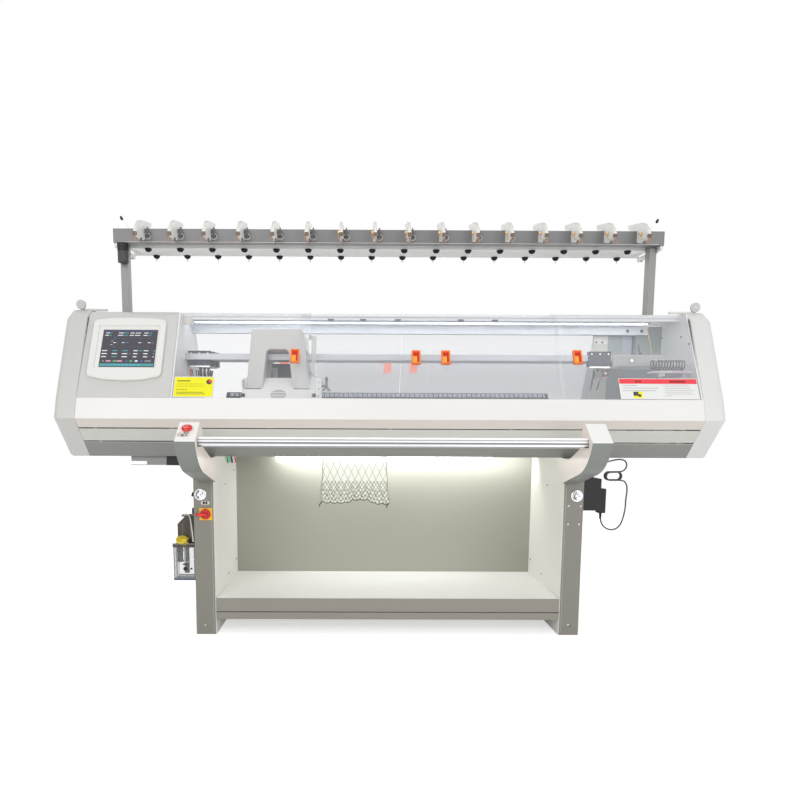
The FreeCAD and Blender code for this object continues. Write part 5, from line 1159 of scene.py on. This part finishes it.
def carrierFeeders(number, places, facts):
    depth, block = facts["depths"][number - 1], facts["lefts"][number - 1]
    middle, front, low, tip = block + facts["half"], depth - facts["front"], facts["low"], facts["tip"]
    tipDepth = throat + facts["tipPitch"] * (number - 2.5)
    form = Form()
    for place in places:
        top, foot = middle + place * facts["spread"], middle + place * facts["spread"] * 0.82
        form.loft([[(x + side * half, near if row else far, z) for side, row in ((-1, 0), (1, 0), (1, 1), (-1, 1))]
                   for x, half, far, near, z in ((top, 0.004, depth - 0.006, depth + 0.001, low),
                                                 (foot, 0.0024, tipDepth - 0.0026, tipDepth + 0.0012, tip))])
        bow = 0.006 if place <= 0 else -0.006
        form.wire([(top + bow * 0.4, depth - 0.010, low), (top + bow, depth - 0.009, facts["bend"]),
                   (top + bow * 0.9, depth - 0.007 + (tipDepth - depth) * 0.3, facts["knee"]),
                   (foot + bow * 0.4, tipDepth - 0.005, facts["elbow"]), (foot, tipDepth - 0.0035, tip + 0.003)],
                  facts["tube"], 1)
    for along in (0.012, 0.048, 0.084):
        form.disc((block + along, front + 0.0002, 1.200), toFront, 0.0035, 0.0016, 2, 12)
    # what each block carries: from and to along it, depths, heights, paint
    plates = [(0.004, 0.092, -0.0012, 0.001, 1.140, 1.147, 2)]
    if number == 1:
        plates += [(0.060, 0.088, -0.001, 0.004, 1.100, 1.133, 0), (0.060, 0.088, -0.0018, -0.0008, 1.100, 1.104, 4)]
        form.disc((block + 0.074, front - 0.0005, 1.118), toFront, 0.004, 0.0022, 5, 12)
    if number == 2:
        plates += [(0.004, 0.011, 0.001, 0.006, 1.102, 1.133, 3), (0.003, 0.012, 0.002, 0.007, 1.088, 1.103, 4)]
    for x0, x1, y0, y1, z0, z1, paint in plates:
        form.box((block + x0, front + y0, z0), (block + x1, front + y1, z1), paint)
    form.make("feeders%d" % number, "carrier_%d" % number, "carrier_plastic",
              "feederDark whitePlastic screwSteel feederRed feederPink springBrass", 0.0004)


for number, places in enumerate(feederPlaces, 1):
    carrierFeeders(number, places, carrierFacts)
print("feeders drawn")


# light strips, clips and the rail stand's fittings

deckFacts = {"left": -0.845, "right": 1.140, "low": 1.334, "high": 1.341,
             "clips": (-0.248, -0.110, 0.040, 0.311, 0.458)}
paintSet(glowing, stripLight=((0.90, 0.94, 1.0), 8.5))
paintSet(moulded, clipDark=((0.10, 0.11, 0.14),), wireYellow=((0.72, 0.52, 0.16),), stripPink=((0.72, 0.50, 0.66),))
paintSet(enamel, stripGrey=((0.40, 0.43, 0.50), 0.45), bracketBeige=((0.72, 0.68, 0.64), 0.45),
         columnBeige=((0.56, 0.56, 0.50), 0.5))


def deckStrips(facts):
    form = Form()
    left, right, low, high = facts["left"], facts["right"], facts["low"], facts["high"]
    # one lit strip between two grey channels, each channel with a thin white strip of painted highlight along its back
    # edge
    for front, back, rise, paint in ((0.110, 0.122, 0.0015, 0), (0.074, 0.088, 0, 2), (0.090, 0.094, 0.002, 4),
                                     (0.150, 0.164, 0, 2), (0.166, 0.170, 0.002, 4)):
        form.box((left, front, low + rise), (right, back, high), paint)
    # dark clips under the deck's front edge
    for x in facts["clips"]:
        form.box((x - 0.013, 0.0575, 1.3375), (x + 0.013, 0.066, 1.3445), 1)
        form.box((x - 0.008, 0.0565, 1.3355), (x + 0.008, 0.062, 1.3385), 1)
    form.box((-0.8785, 0.045, 1.318), (-0.842, 0.058, 1.340), 3)
    form.box((-0.8785, 0.047, 1.3395), (-0.846, 0.0585, 1.350), 3)
    # upturned edge along the deck
    form.box((-0.884, 0.0582, 1.3495), (1.259, 0.0595, 1.3525), 2)
    form.make("deckStrips", "machine", "inner_paint",
              "stripLight clipDark stripGrey bracketBeige whitePlastic", 0.0004)


def standFittings():
    form = Form()
    # the upright beside the plate and its head, what stands behind the slot, lips along the rails' bracket
    for low, high, paint in (((0.944, 0.2215, 0.950), (1.011, 0.2285, 1.302), 0),
                             ((0.9475, 0.2205, 1.262), (1.0095, 0.222, 1.301), 1),
                             ((1.070, 0.2292, 1.208), (1.144, 0.233, 1.308), 3),
                             ((1.124, 0.224, 1.214), (1.1305, 0.2292, 1.3015), 2),
                             ((0.9725, 0.0538, 1.1925), (1.1925, 0.0556, 1.1958), 1),
                             ((0.9725, 0.0538, 1.1492), (1.1925, 0.0556, 1.152), 3)):
        form.box(low, high, paint)
    for x in (0.957, 0.984):
        form.disc((x, 0.2208, 1.270), toFront, 0.0048, 0.0012, 2, 14)
    # holes in the upper beam and in the bracket
    for x in (1.086, 1.150):
        form.disc((x, 0.1926, 1.317), toFront, 0.0075, 0.0012, 2, 18)
        form.wire(around((x, 0.1922, 1.317), 0.0085, 12), 0.001, 4, 6, True)
    for x in (1.054, 1.155):
        form.wire(around((x, 0.0542, 1.172), 0.0105, 14), 0.0011, 3, 6, True)
    # a thin wire and a hook
    form.wire([(1.108, 0.066, 1.338), (1.118, 0.060, 1.302), (1.130, 0.055, 1.250), (1.140, 0.0535, 1.196)], 0.002, 5)
    form.disc((1.104, 0.068, 1.3345), toTop, 0.006, 0.006, 6, 14)
    form.wire([(1.150, 0.2190, 1.262), (1.152, 0.2165, 1.240), (1.158, 0.2160, 1.226)], 0.002, 2)
    form.turned((1.159, 0.216, 1.229), toFloor, ((0, 0.003), (0.004, 0.0058), (0.010, 0.0058), (0.013, 0.003)), 14, 2)
    form.make("standFittings", "machine", "beam_paint",
              "columnBeige bracketBeige clipDark stripGrey screwSteel wireYellow armPearl", 0.0005)


def wallFittings():
    form = Form()
    for y, z in ((0.272, 1.266), (0.215, 1.290), (0.037, 1.272), (-0.035, 1.234), (0.292, 1.158)):
        form.disc((1.254, y, z), (-1, 0, 0), 0.0042, 0.0022, 0, 14)
    # edges of the coil's strip and the box under it
    for low, high, paint in (((1.084, -0.0795, 1.1105), (1.232, -0.076, 1.1185), 1),
                             ((1.100, -0.0802, 1.113), (1.168, -0.079, 1.1175), 2),
                             ((1.145, -0.074, 1.0925), (1.217, -0.040, 1.1125), 0),
                             ((1.118, -0.072, 1.0975), (1.144, -0.040, 1.1125), 3)):
        form.box(low, high, paint)
    form.make("wallFittings", "machine", "inner_paint", "clipDark stripPink whitePlastic bracketBeige", 0.0004)


deckStrips(deckFacts)
standFittings()
wallFittings()
print("deck and rail stand fitted")


# arms, bar and stop button

armLean = math.radians(51.8)
collarProud = 0.005
barFacts = {"reach": 0.728, "front": -0.4064, "end": 0.7235,
            "grooves": ((0.8355, 0.8385, 0), (0.8232, 0.8298, 1), (0.8118, 0.8152, 1))}
swirlFacts = {"proud": 0.0002, "step": 0.28, "wire": 0.0011,
              "arcs": ((0.4, 9, 0.0095), (3.5, 8, 0.0095), (0.8, 8, 0.0052))}     # start angle, points, radius
paintSet(moulded, plateBeige=((0.62, 0.57, 0.52), 0.45, 0.03), ringPale=((0.95, 0.62, 0.62), 0.3, 0.03))
paintSet(satin, grooveGrey=((0.42, 0.42, 0.43), 0.45), grooveDark=((0.20, 0.215, 0.23), 0.45))


def armTrim():
    # an oval plate with two dots below the stop button
    face, form = Face("bar_arms", armLean, inset=collarProud), Form()
    for row in ((-0.782, 0.856, 0.0115, 0, 0.0008, 0, 24), (-0.766, 0.854, 0.0115, 0, 0.0008, 0, 24),
                (-0.771, 0.8535, 0.0042, 0.0004, 0.0022, 1, 14), (-0.754, 0.853, 0.0026, 0, 0.0016, 1, 12)):
        face.disc(form, *row)
    form.make("armTrim", "machine", "arm_paint", "plateBeige blackPlastic", 0.0003)


def barTrim(facts):
    # the long grooves of the operating bar and its end fittings
    form = Form()
    reach, front = facts["reach"], facts["front"]
    for low, high, paint in facts["grooves"]:
        form.box((-reach, front, low), (reach, front + 0.0012, high), paint)
    for place, inner in ((facts["end"], -0.018), (-facts["end"], 0.018)):
        form.disc((place, front + 0.0004, 0.8405), toFront, 0.0042, 0.0012, 0, 16)
        form.disc((place, front + 0.0002, 0.8215), toFront, 0.0046, 0.0014, 2, 16)
        x0, x1 = sorted((place, place + inner))
        form.box((x0, front - 0.0002, 0.812), (x1, front + 0.0014, 0.8165), 2)
    form.make("barTrim", "bar", "bar_aluminium", "grooveGrey grooveDark blackPlastic")


def buttonTrim(facts):
    # a pale swirl of painted highlight on the cap
    face, form = Face("emergency_button", armLean), Form()
    middle = sum(corners(vert.co for vert in nodes["emergency_button"].data.vertices), Vector()) / 2
    centre = middle + face.out * (face.reach - face.out.dot(middle) + facts["proud"])
    for start, count, radius in facts["arcs"]:
        turns = [start + number * facts["step"] for number in range(count)]
        form.wire([centre + (Vector((1, 0, 0)) * math.cos(turn) + face.up * math.sin(turn)) * radius
                   for turn in turns], facts["wire"], 0, 6)
    form.make("buttonTrim", "stop_button", "stop_red", "ringPale")


armTrim()
barTrim(barFacts)
buttonTrim(swirlFacts)
print("arms and bar trimmed")


# legs: screws, plates, switch and latches

legFront = -0.106
switchPlace = (-0.766, 0.519)
latchPlace = (0.786, 0.601)
legScrews = ((-0.778, 0.040), (0.772, 0.045), (0.754, 0.557), (0.803, 0.557), (0.754, 0.480), (0.801, 0.480))
paintSet(moulded, switchBright=((0.85, 0.03, 0.03), 0.3, 0.03), plateWhite=((0.80, 0.74, 0.72), 0.45, 0.02))


def legTrim():
    form = Form()

    def plate(x0, x1, under, over, low, high, paint):
        form.box((x0, legFront + over, low), (x1, legFront + under, high), paint)

    for x, z in legScrews:
        # a rounded head with a dark socket in it
        form.turned((x, legFront, z), toFront, ((-0.001, 0.0046), (0.0012, 0.0046), (0.0022, 0.003772),
                                                (0.0026, 0.0023)), 14)
        form.turned((x, legFront - 0.0026, z), toFront, ((-0.0005, 0.001932), (0.0001, 0.001932)), 6, 1)
    # yellow plate behind the switch
    x, z = switchPlace
    plate(x - 0.026, x + 0.028, 0.001, -0.0045, z - 0.026, z + 0.025, 2)
    form.disc((x, legFront - 0.0044, z + 0.0232), toFront, 0.0018, 0.0008, 1, 10)
    # small pale plate with round ends and dots
    plate(-0.7765, -0.7585, 0.001, -0.0012, 0.557, 0.574, 3)
    for x in (-0.7765, -0.7585):
        form.disc((x, legFront - 0.0012, 0.5655), toBack, 0.0085, 0.002, 3, 20)
    for x, radius in ((-0.7765, 0.0022), (-0.7690, 0.0018), (-0.7600, 0.0026)):
        form.disc((x, legFront - 0.0012, 0.5655), toFront, radius, 0.0006, 1, 12)
    plate(-0.745, -0.7425, 0.001, -0.0012, 0.562, 0.574, 4)
    for side in (-1, 1):
        # dark rims round the latches, a line down the inner edge of each leg's front
        form.wire(around((latchPlace[0] * side, legFront - 0.0006, latchPlace[1]), 0.0212, 24), 0.0016, 4, 6, True)
        plate(0.741 * side - 0.0008, 0.741 * side + 0.0008, 0.001, -0.0004, 0.012, 0.640, 5)
    # black fittings on the outer side
    form.box((-0.8235, -0.102, 0.594), (-0.8155, -0.084, 0.609), 1)
    form.disc((-0.815, -0.090, 0.596), (-1, 0, 0), 0.006, 0.012, 1, 14)
    form.disc((-0.815, -0.092, 0.530), (-1, 0, 0), 0.014, 0.009, 1, 20)
    form.make("legTrim", "machine", "leg_paint",
              "screwSteel blackPlastic switchYellow plateWhite darkPaint castingPaint", 0.0004)


def switchTrim():
    # the round red rotor behind the grip, and the grip's bright pointer
    x, z = switchPlace
    form = Form()
    form.turned((x, legFront - 0.0052, z), toFront, ((0, 0.0218), (0.005, 0.0214), (0.0075, 0.0195)), 32)
    form.prism([(x - 0.0385, z), (x - 0.023, z + 0.0065), (x + 0.010, z + 0.0035), (x + 0.010, z - 0.0035),
                (x - 0.023, z - 0.0055)], legFront - 0.0265, legFront - 0.024, 1)
    form.make("switchTrim", "switch", "switch_red", "switchRed switchBright", 0.0006)


def latchTrim(name, body, side):
    # a folded key plate standing on the latch's disc
    form = Form()
    x, front = latchPlace[0] * side, legFront - 0.015
    form.prism([(x - 0.001, 0.588), (x + 0.014, 0.600), (x + 0.006, 0.613), (x - 0.006, 0.604)],
               front - 0.003, front)
    form.wire([(x - 0.006, front - 0.001, 0.618), (x - 0.013, front - 0.002, 0.608), (x - 0.014, front - 0.002, 0.597),
               (x - 0.006, front - 0.001, 0.585)], 0.0022, 1)
    form.disc((x + 0.004, front - 0.0028, 0.602), toFront, 0.0026, 0.0008, 2, 12)
    form.make(name, body, "latch_chrome", "latchChrome darkScrew blackPlastic", 0.0005)


legTrim()
switchTrim()
latchTrim("leftLatchKey", "latch_left", -1)
latchTrim("rightLatchKey", "latch_right", 1)
print("legs trimmed")


# bay: wire ends, screws and the drive box's dark end

wireEnds = ((-0.686, 0.0022, 0, 0.736), (-0.679, 0.0022, 1, 0.729), (-0.671, 0.0036, 0, 0.733),
            (-0.661, 0.0042, 2, 0.731), (-0.646, 0.0026, 3, 0.732))     # x, radius, paint, lowest point
bayScrews = {-1: ((0.158, 0.684), (0.136, 0.457), (0.119, 0.275)),
             1: ((0.209, 0.686), (0.180, 0.456), (0.156, 0.272))}
paintSet(moulded, wireGreen=((0.10, 0.62, 0.16), 0.45), wireRed=((0.70, 0.04, 0.04), 0.45),
         wireNavy=((0.015, 0.05, 0.22), 0.45))


def bayTrim():
    form = Form()
    for x, radius, paint, low in wireEnds:
        form.wire([(x - 0.003, -0.064, 0.7575), (x - 0.001, -0.062, 0.747), (x + 0.001, -0.060, low)], radius, paint)
    # small screws in pairs on the side panels' inner faces
    for side, places in bayScrews.items():
        for y, z in places:
            form.disc((0.7335 * side, y, z + 0.0055), (-side, 0, 0), 0.004, 0.0022, 4, 12)
            form.disc((0.7335 * side, y, z - 0.0055), (-side, 0, 0), 0.0044, 0.0024, 1, 12)
    # dark cover on the inner end of the drive box
    form.box((-0.944, -0.0368, 0.7175), (-0.8945, 0.1368, 0.7575), 1)
    form.box((-1.0955, -0.0358, 0.7182), (-0.944, -0.0345, 0.7212), 5)
    form.make("bayTrim", "machine", "bay_paint",
              "wireGreen blackPlastic wireNavy wireRed screwSteel castingPaint", 0.0004)


bayTrim()
print("bay trimmed")


# oil pump and tank

pumpFacts = {"x": -0.864, "y": -0.050, "half": 0.0455, "front": -0.0935, "tankLow": 0.233, "tankHigh": 0.374}
paintSet(moulded, footBlue=((0.06, 0.08, 0.14), 0.4), pipeClear=((0.62, 0.62, 0.58), 0.3, 0.03),
         pumpEdge=((0.19, 0.17, 0.14),), pumpInner=((0.012, 0.014, 0.018), 0.4, 0.05, 0.3),
         ribSlate=((0.22, 0.24, 0.27), 0.35))


def pumpTrim(facts):
    form = Form()
    x, low, high, half, front = (facts[key] for key in ("x", "tankLow", "tankHigh", "half", "front"))
    # dipping cylinder with collars, seen through the tank's front wall
    innerX, innerY = x - 0.0215, facts["y"] - 0.027
    form.turned((innerX, innerY, high - 0.001), toFloor,
                ((0, 0.0125), (0.012, 0.0125), (0.013, 0.0145), (0.019, 0.0145), (0.020, 0.0115), (0.056, 0.012),
                 (0.057, 0.0145), (0.064, 0.015)))
    form.box((innerX + 0.017, innerY - 0.003, low + 0.055), (innerX + 0.023, innerY + 0.003, high - 0.001), 1)
    form.turned((x + 0.004, front, low + 0.050), toFront, ((-0.002, 0.008), (0.006, 0.008), (0.008, 0.0055)), 20)
    form.disc((x + 0.030, front, low + 0.050), toFront, 0.0045, 0.003, 0, 16)
    # plate over the tap, foot, rim lines and corner ribs of the tank
    plates = [((x - 0.006, -0.097, low + 0.066), (x + 0.012, front, low + 0.071), 0),
              ((x - half, -0.0948, low - 0.0005), (x + half, -0.0052, low + 0.006), 2)]
    plates += [((x - half + 0.0001, -0.0945, height), (x + half - 0.0001, -0.093, height + 0.002), 1)
               for height in (low + 0.018, low + 0.078)]
    plates += [((place, -0.0946, low + 0.004), (place + 0.004, -0.0925, high - 0.002), 3)
               for place in (x - half, x - 0.034, x + 0.041)]
    # a lug beside the cap, and painted highlights along the housing's edges
    plates += [((x + 0.016, -0.0985, 0.398), (x + 0.024, -0.0955, 0.408), 0),
               ((-0.9125, -0.0978, 0.386), (-0.8155, -0.0962, 0.392), 4)]
    plates += [((place, -0.0972, 0.418), (place + 0.002, -0.0962, 0.476), 4) for place in (-0.868, -0.836)]
    for row in plates:
        form.box(*row)
    # wide cap's flange, tilted forward
    form.turned((x - 0.012, -0.080, 0.401), (0.08, -0.5, 0.86), ((0, 0.024), (0.007, 0.025), (0.010, 0.022)), 32, 5)
    # pale pipe from the head down beside the leg
    form.wire([(-0.873, -0.052, 0.503), (-0.862, -0.060, 0.512), (-0.846, -0.066, 0.508), (-0.838, -0.078, 0.492),
               (-0.832, -0.090, 0.468), (-0.826, -0.099, 0.440), (-0.823, -0.1015, 0.400)], 0.0032, 1, 10)
    form.turned((-0.874, -0.050, 0.500), toTop, ((0, 0.009), (0.006, 0.009), (0.009, 0.006)), 20, 4)
    form.make("pumpTrim", "machine", "pump_plastic",
              "pumpInner pipeClear footBlue ribSlate pumpEdge capYellow", 0.0004)


pumpTrim(pumpFacts)
print("pump fitted")


# light, floor and the view

lightFacts = {
    "key": {"place": (-1.8, -4.2, 2.6), "size": (2.8, 2.0), "power": 62},
    "fill": {"place": (2.4, -4.0, 1.8), "size": (2.4, 2.0), "power": 46},
    "top": {"place": (0, -0.2, 4.2), "size": (4.0, 2.4), "power": 24},
    "rear": {"place": (0, 3.4, 2.8), "size": (3.2, 2.0), "power": 22},
    # what the bay's lamp throws down the back panel
    "bay": {"place": (0.10, 0.30, 0.735), "size": (1.2, 0.04), "power": 2.4, "aim": (0.10, 0.42, 0.62)},
}
worldStrength = 0.50
machineMiddle = (0, 0, 0.9)
floorFacts = {"paint": 0.90, "glow": 0.55, "reach": 30}


def softLamp(name, facts):
    data = bpy.data.lights.new(name, "AREA")
    data.shape = "RECTANGLE"
    data.size, data.size_y = facts["size"]
    data.energy = facts["power"]
    lamp = bpy.data.objects.new(name, data)
    place = Vector(facts["place"])
    aim = Vector(facts.get("aim", machineMiddle)) - place
    lamp.matrix_world = Matrix.Translation(place) @ aim.to_track_quat("-Z", "Y").to_matrix().to_4x4()
    lamp.visible_camera = False
    link(lamp)


def seenRays(tree):
    # 1 where the camera looks, also by way of metal and clear sheets
    ray = tree.nodes.new("ShaderNodeLightPath")
    seen = ray.outputs["Is Camera Ray"]
    for kind in ("Is Glossy Ray", "Is Transmission Ray"):
        both = tree.nodes.new("ShaderNodeMath")
        both.operation = "MAXIMUM"
        tree.links.new(seen, both.inputs[0])
        tree.links.new(ray.outputs[kind], both.inputs[1])
        seen = both.outputs[0]
    return seen


def makeWorld(strength):
    world = bpy.data.worlds.new("studio")
    world.use_nodes = True
    tree = world.node_tree
    tree.nodes.clear()
    mixed = tree.nodes.new("ShaderNodeMixShader")
    tree.links.new(seenRays(tree), mixed.inputs[0])
    for number, power in ((1, strength), (2, 1)):
        background = tree.nodes.new("ShaderNodeBackground")
        background.inputs[0].default_value = (1, 1, 1, 1)
        background.inputs[1].default_value = power
        tree.links.new(background.outputs[0], mixed.inputs[number])
    tree.links.new(mixed.outputs[0], tree.nodes.new("ShaderNodeOutputWorld").inputs[0])
    bpy.context.scene.world = world


def makeFloor(facts):
    # a pale floor that the camera sees nearly white, with the machine's shadow
    shade = Shade("floorPaint", Roughness=0.8)
    shade.colour(mottled(shade, facts["paint"], 0.01, 1))
    plain = Value(shade, shade.surface.outputs[0])
    glow = shade.node("ShaderNodeEmission", None, {0: (1, 1, 1), 1: facts["glow"]})
    lit = shade.node("ShaderNodeAddShader", None, {0: plain, 1: glow})
    seen = Value(shade, seenRays(shade.tree))
    shade.put(shade.out.inputs[0], shade.node("ShaderNodeMixShader", None, {0: seen, 1: plain, 2: lit}))
    reach = facts["reach"]
    mesh = bpy.data.meshes.new("floor")
    mesh.from_pydata([(-reach, -reach, 0), (reach, -reach, 0), (reach, reach, 0), (-reach, reach, 0)], [],
                     [(0, 1, 2, 3)])
    mesh.materials.append(shade.material)
    floor = bpy.data.objects.new("floor", mesh)
    link(floor)


for name, facts in lightFacts.items():
    softLamp(name, facts)
makeWorld(worldStrength)
makeFloor(floorFacts)
bpy.context.scene.view_settings.view_transform = "Standard"
print("light and floor set")
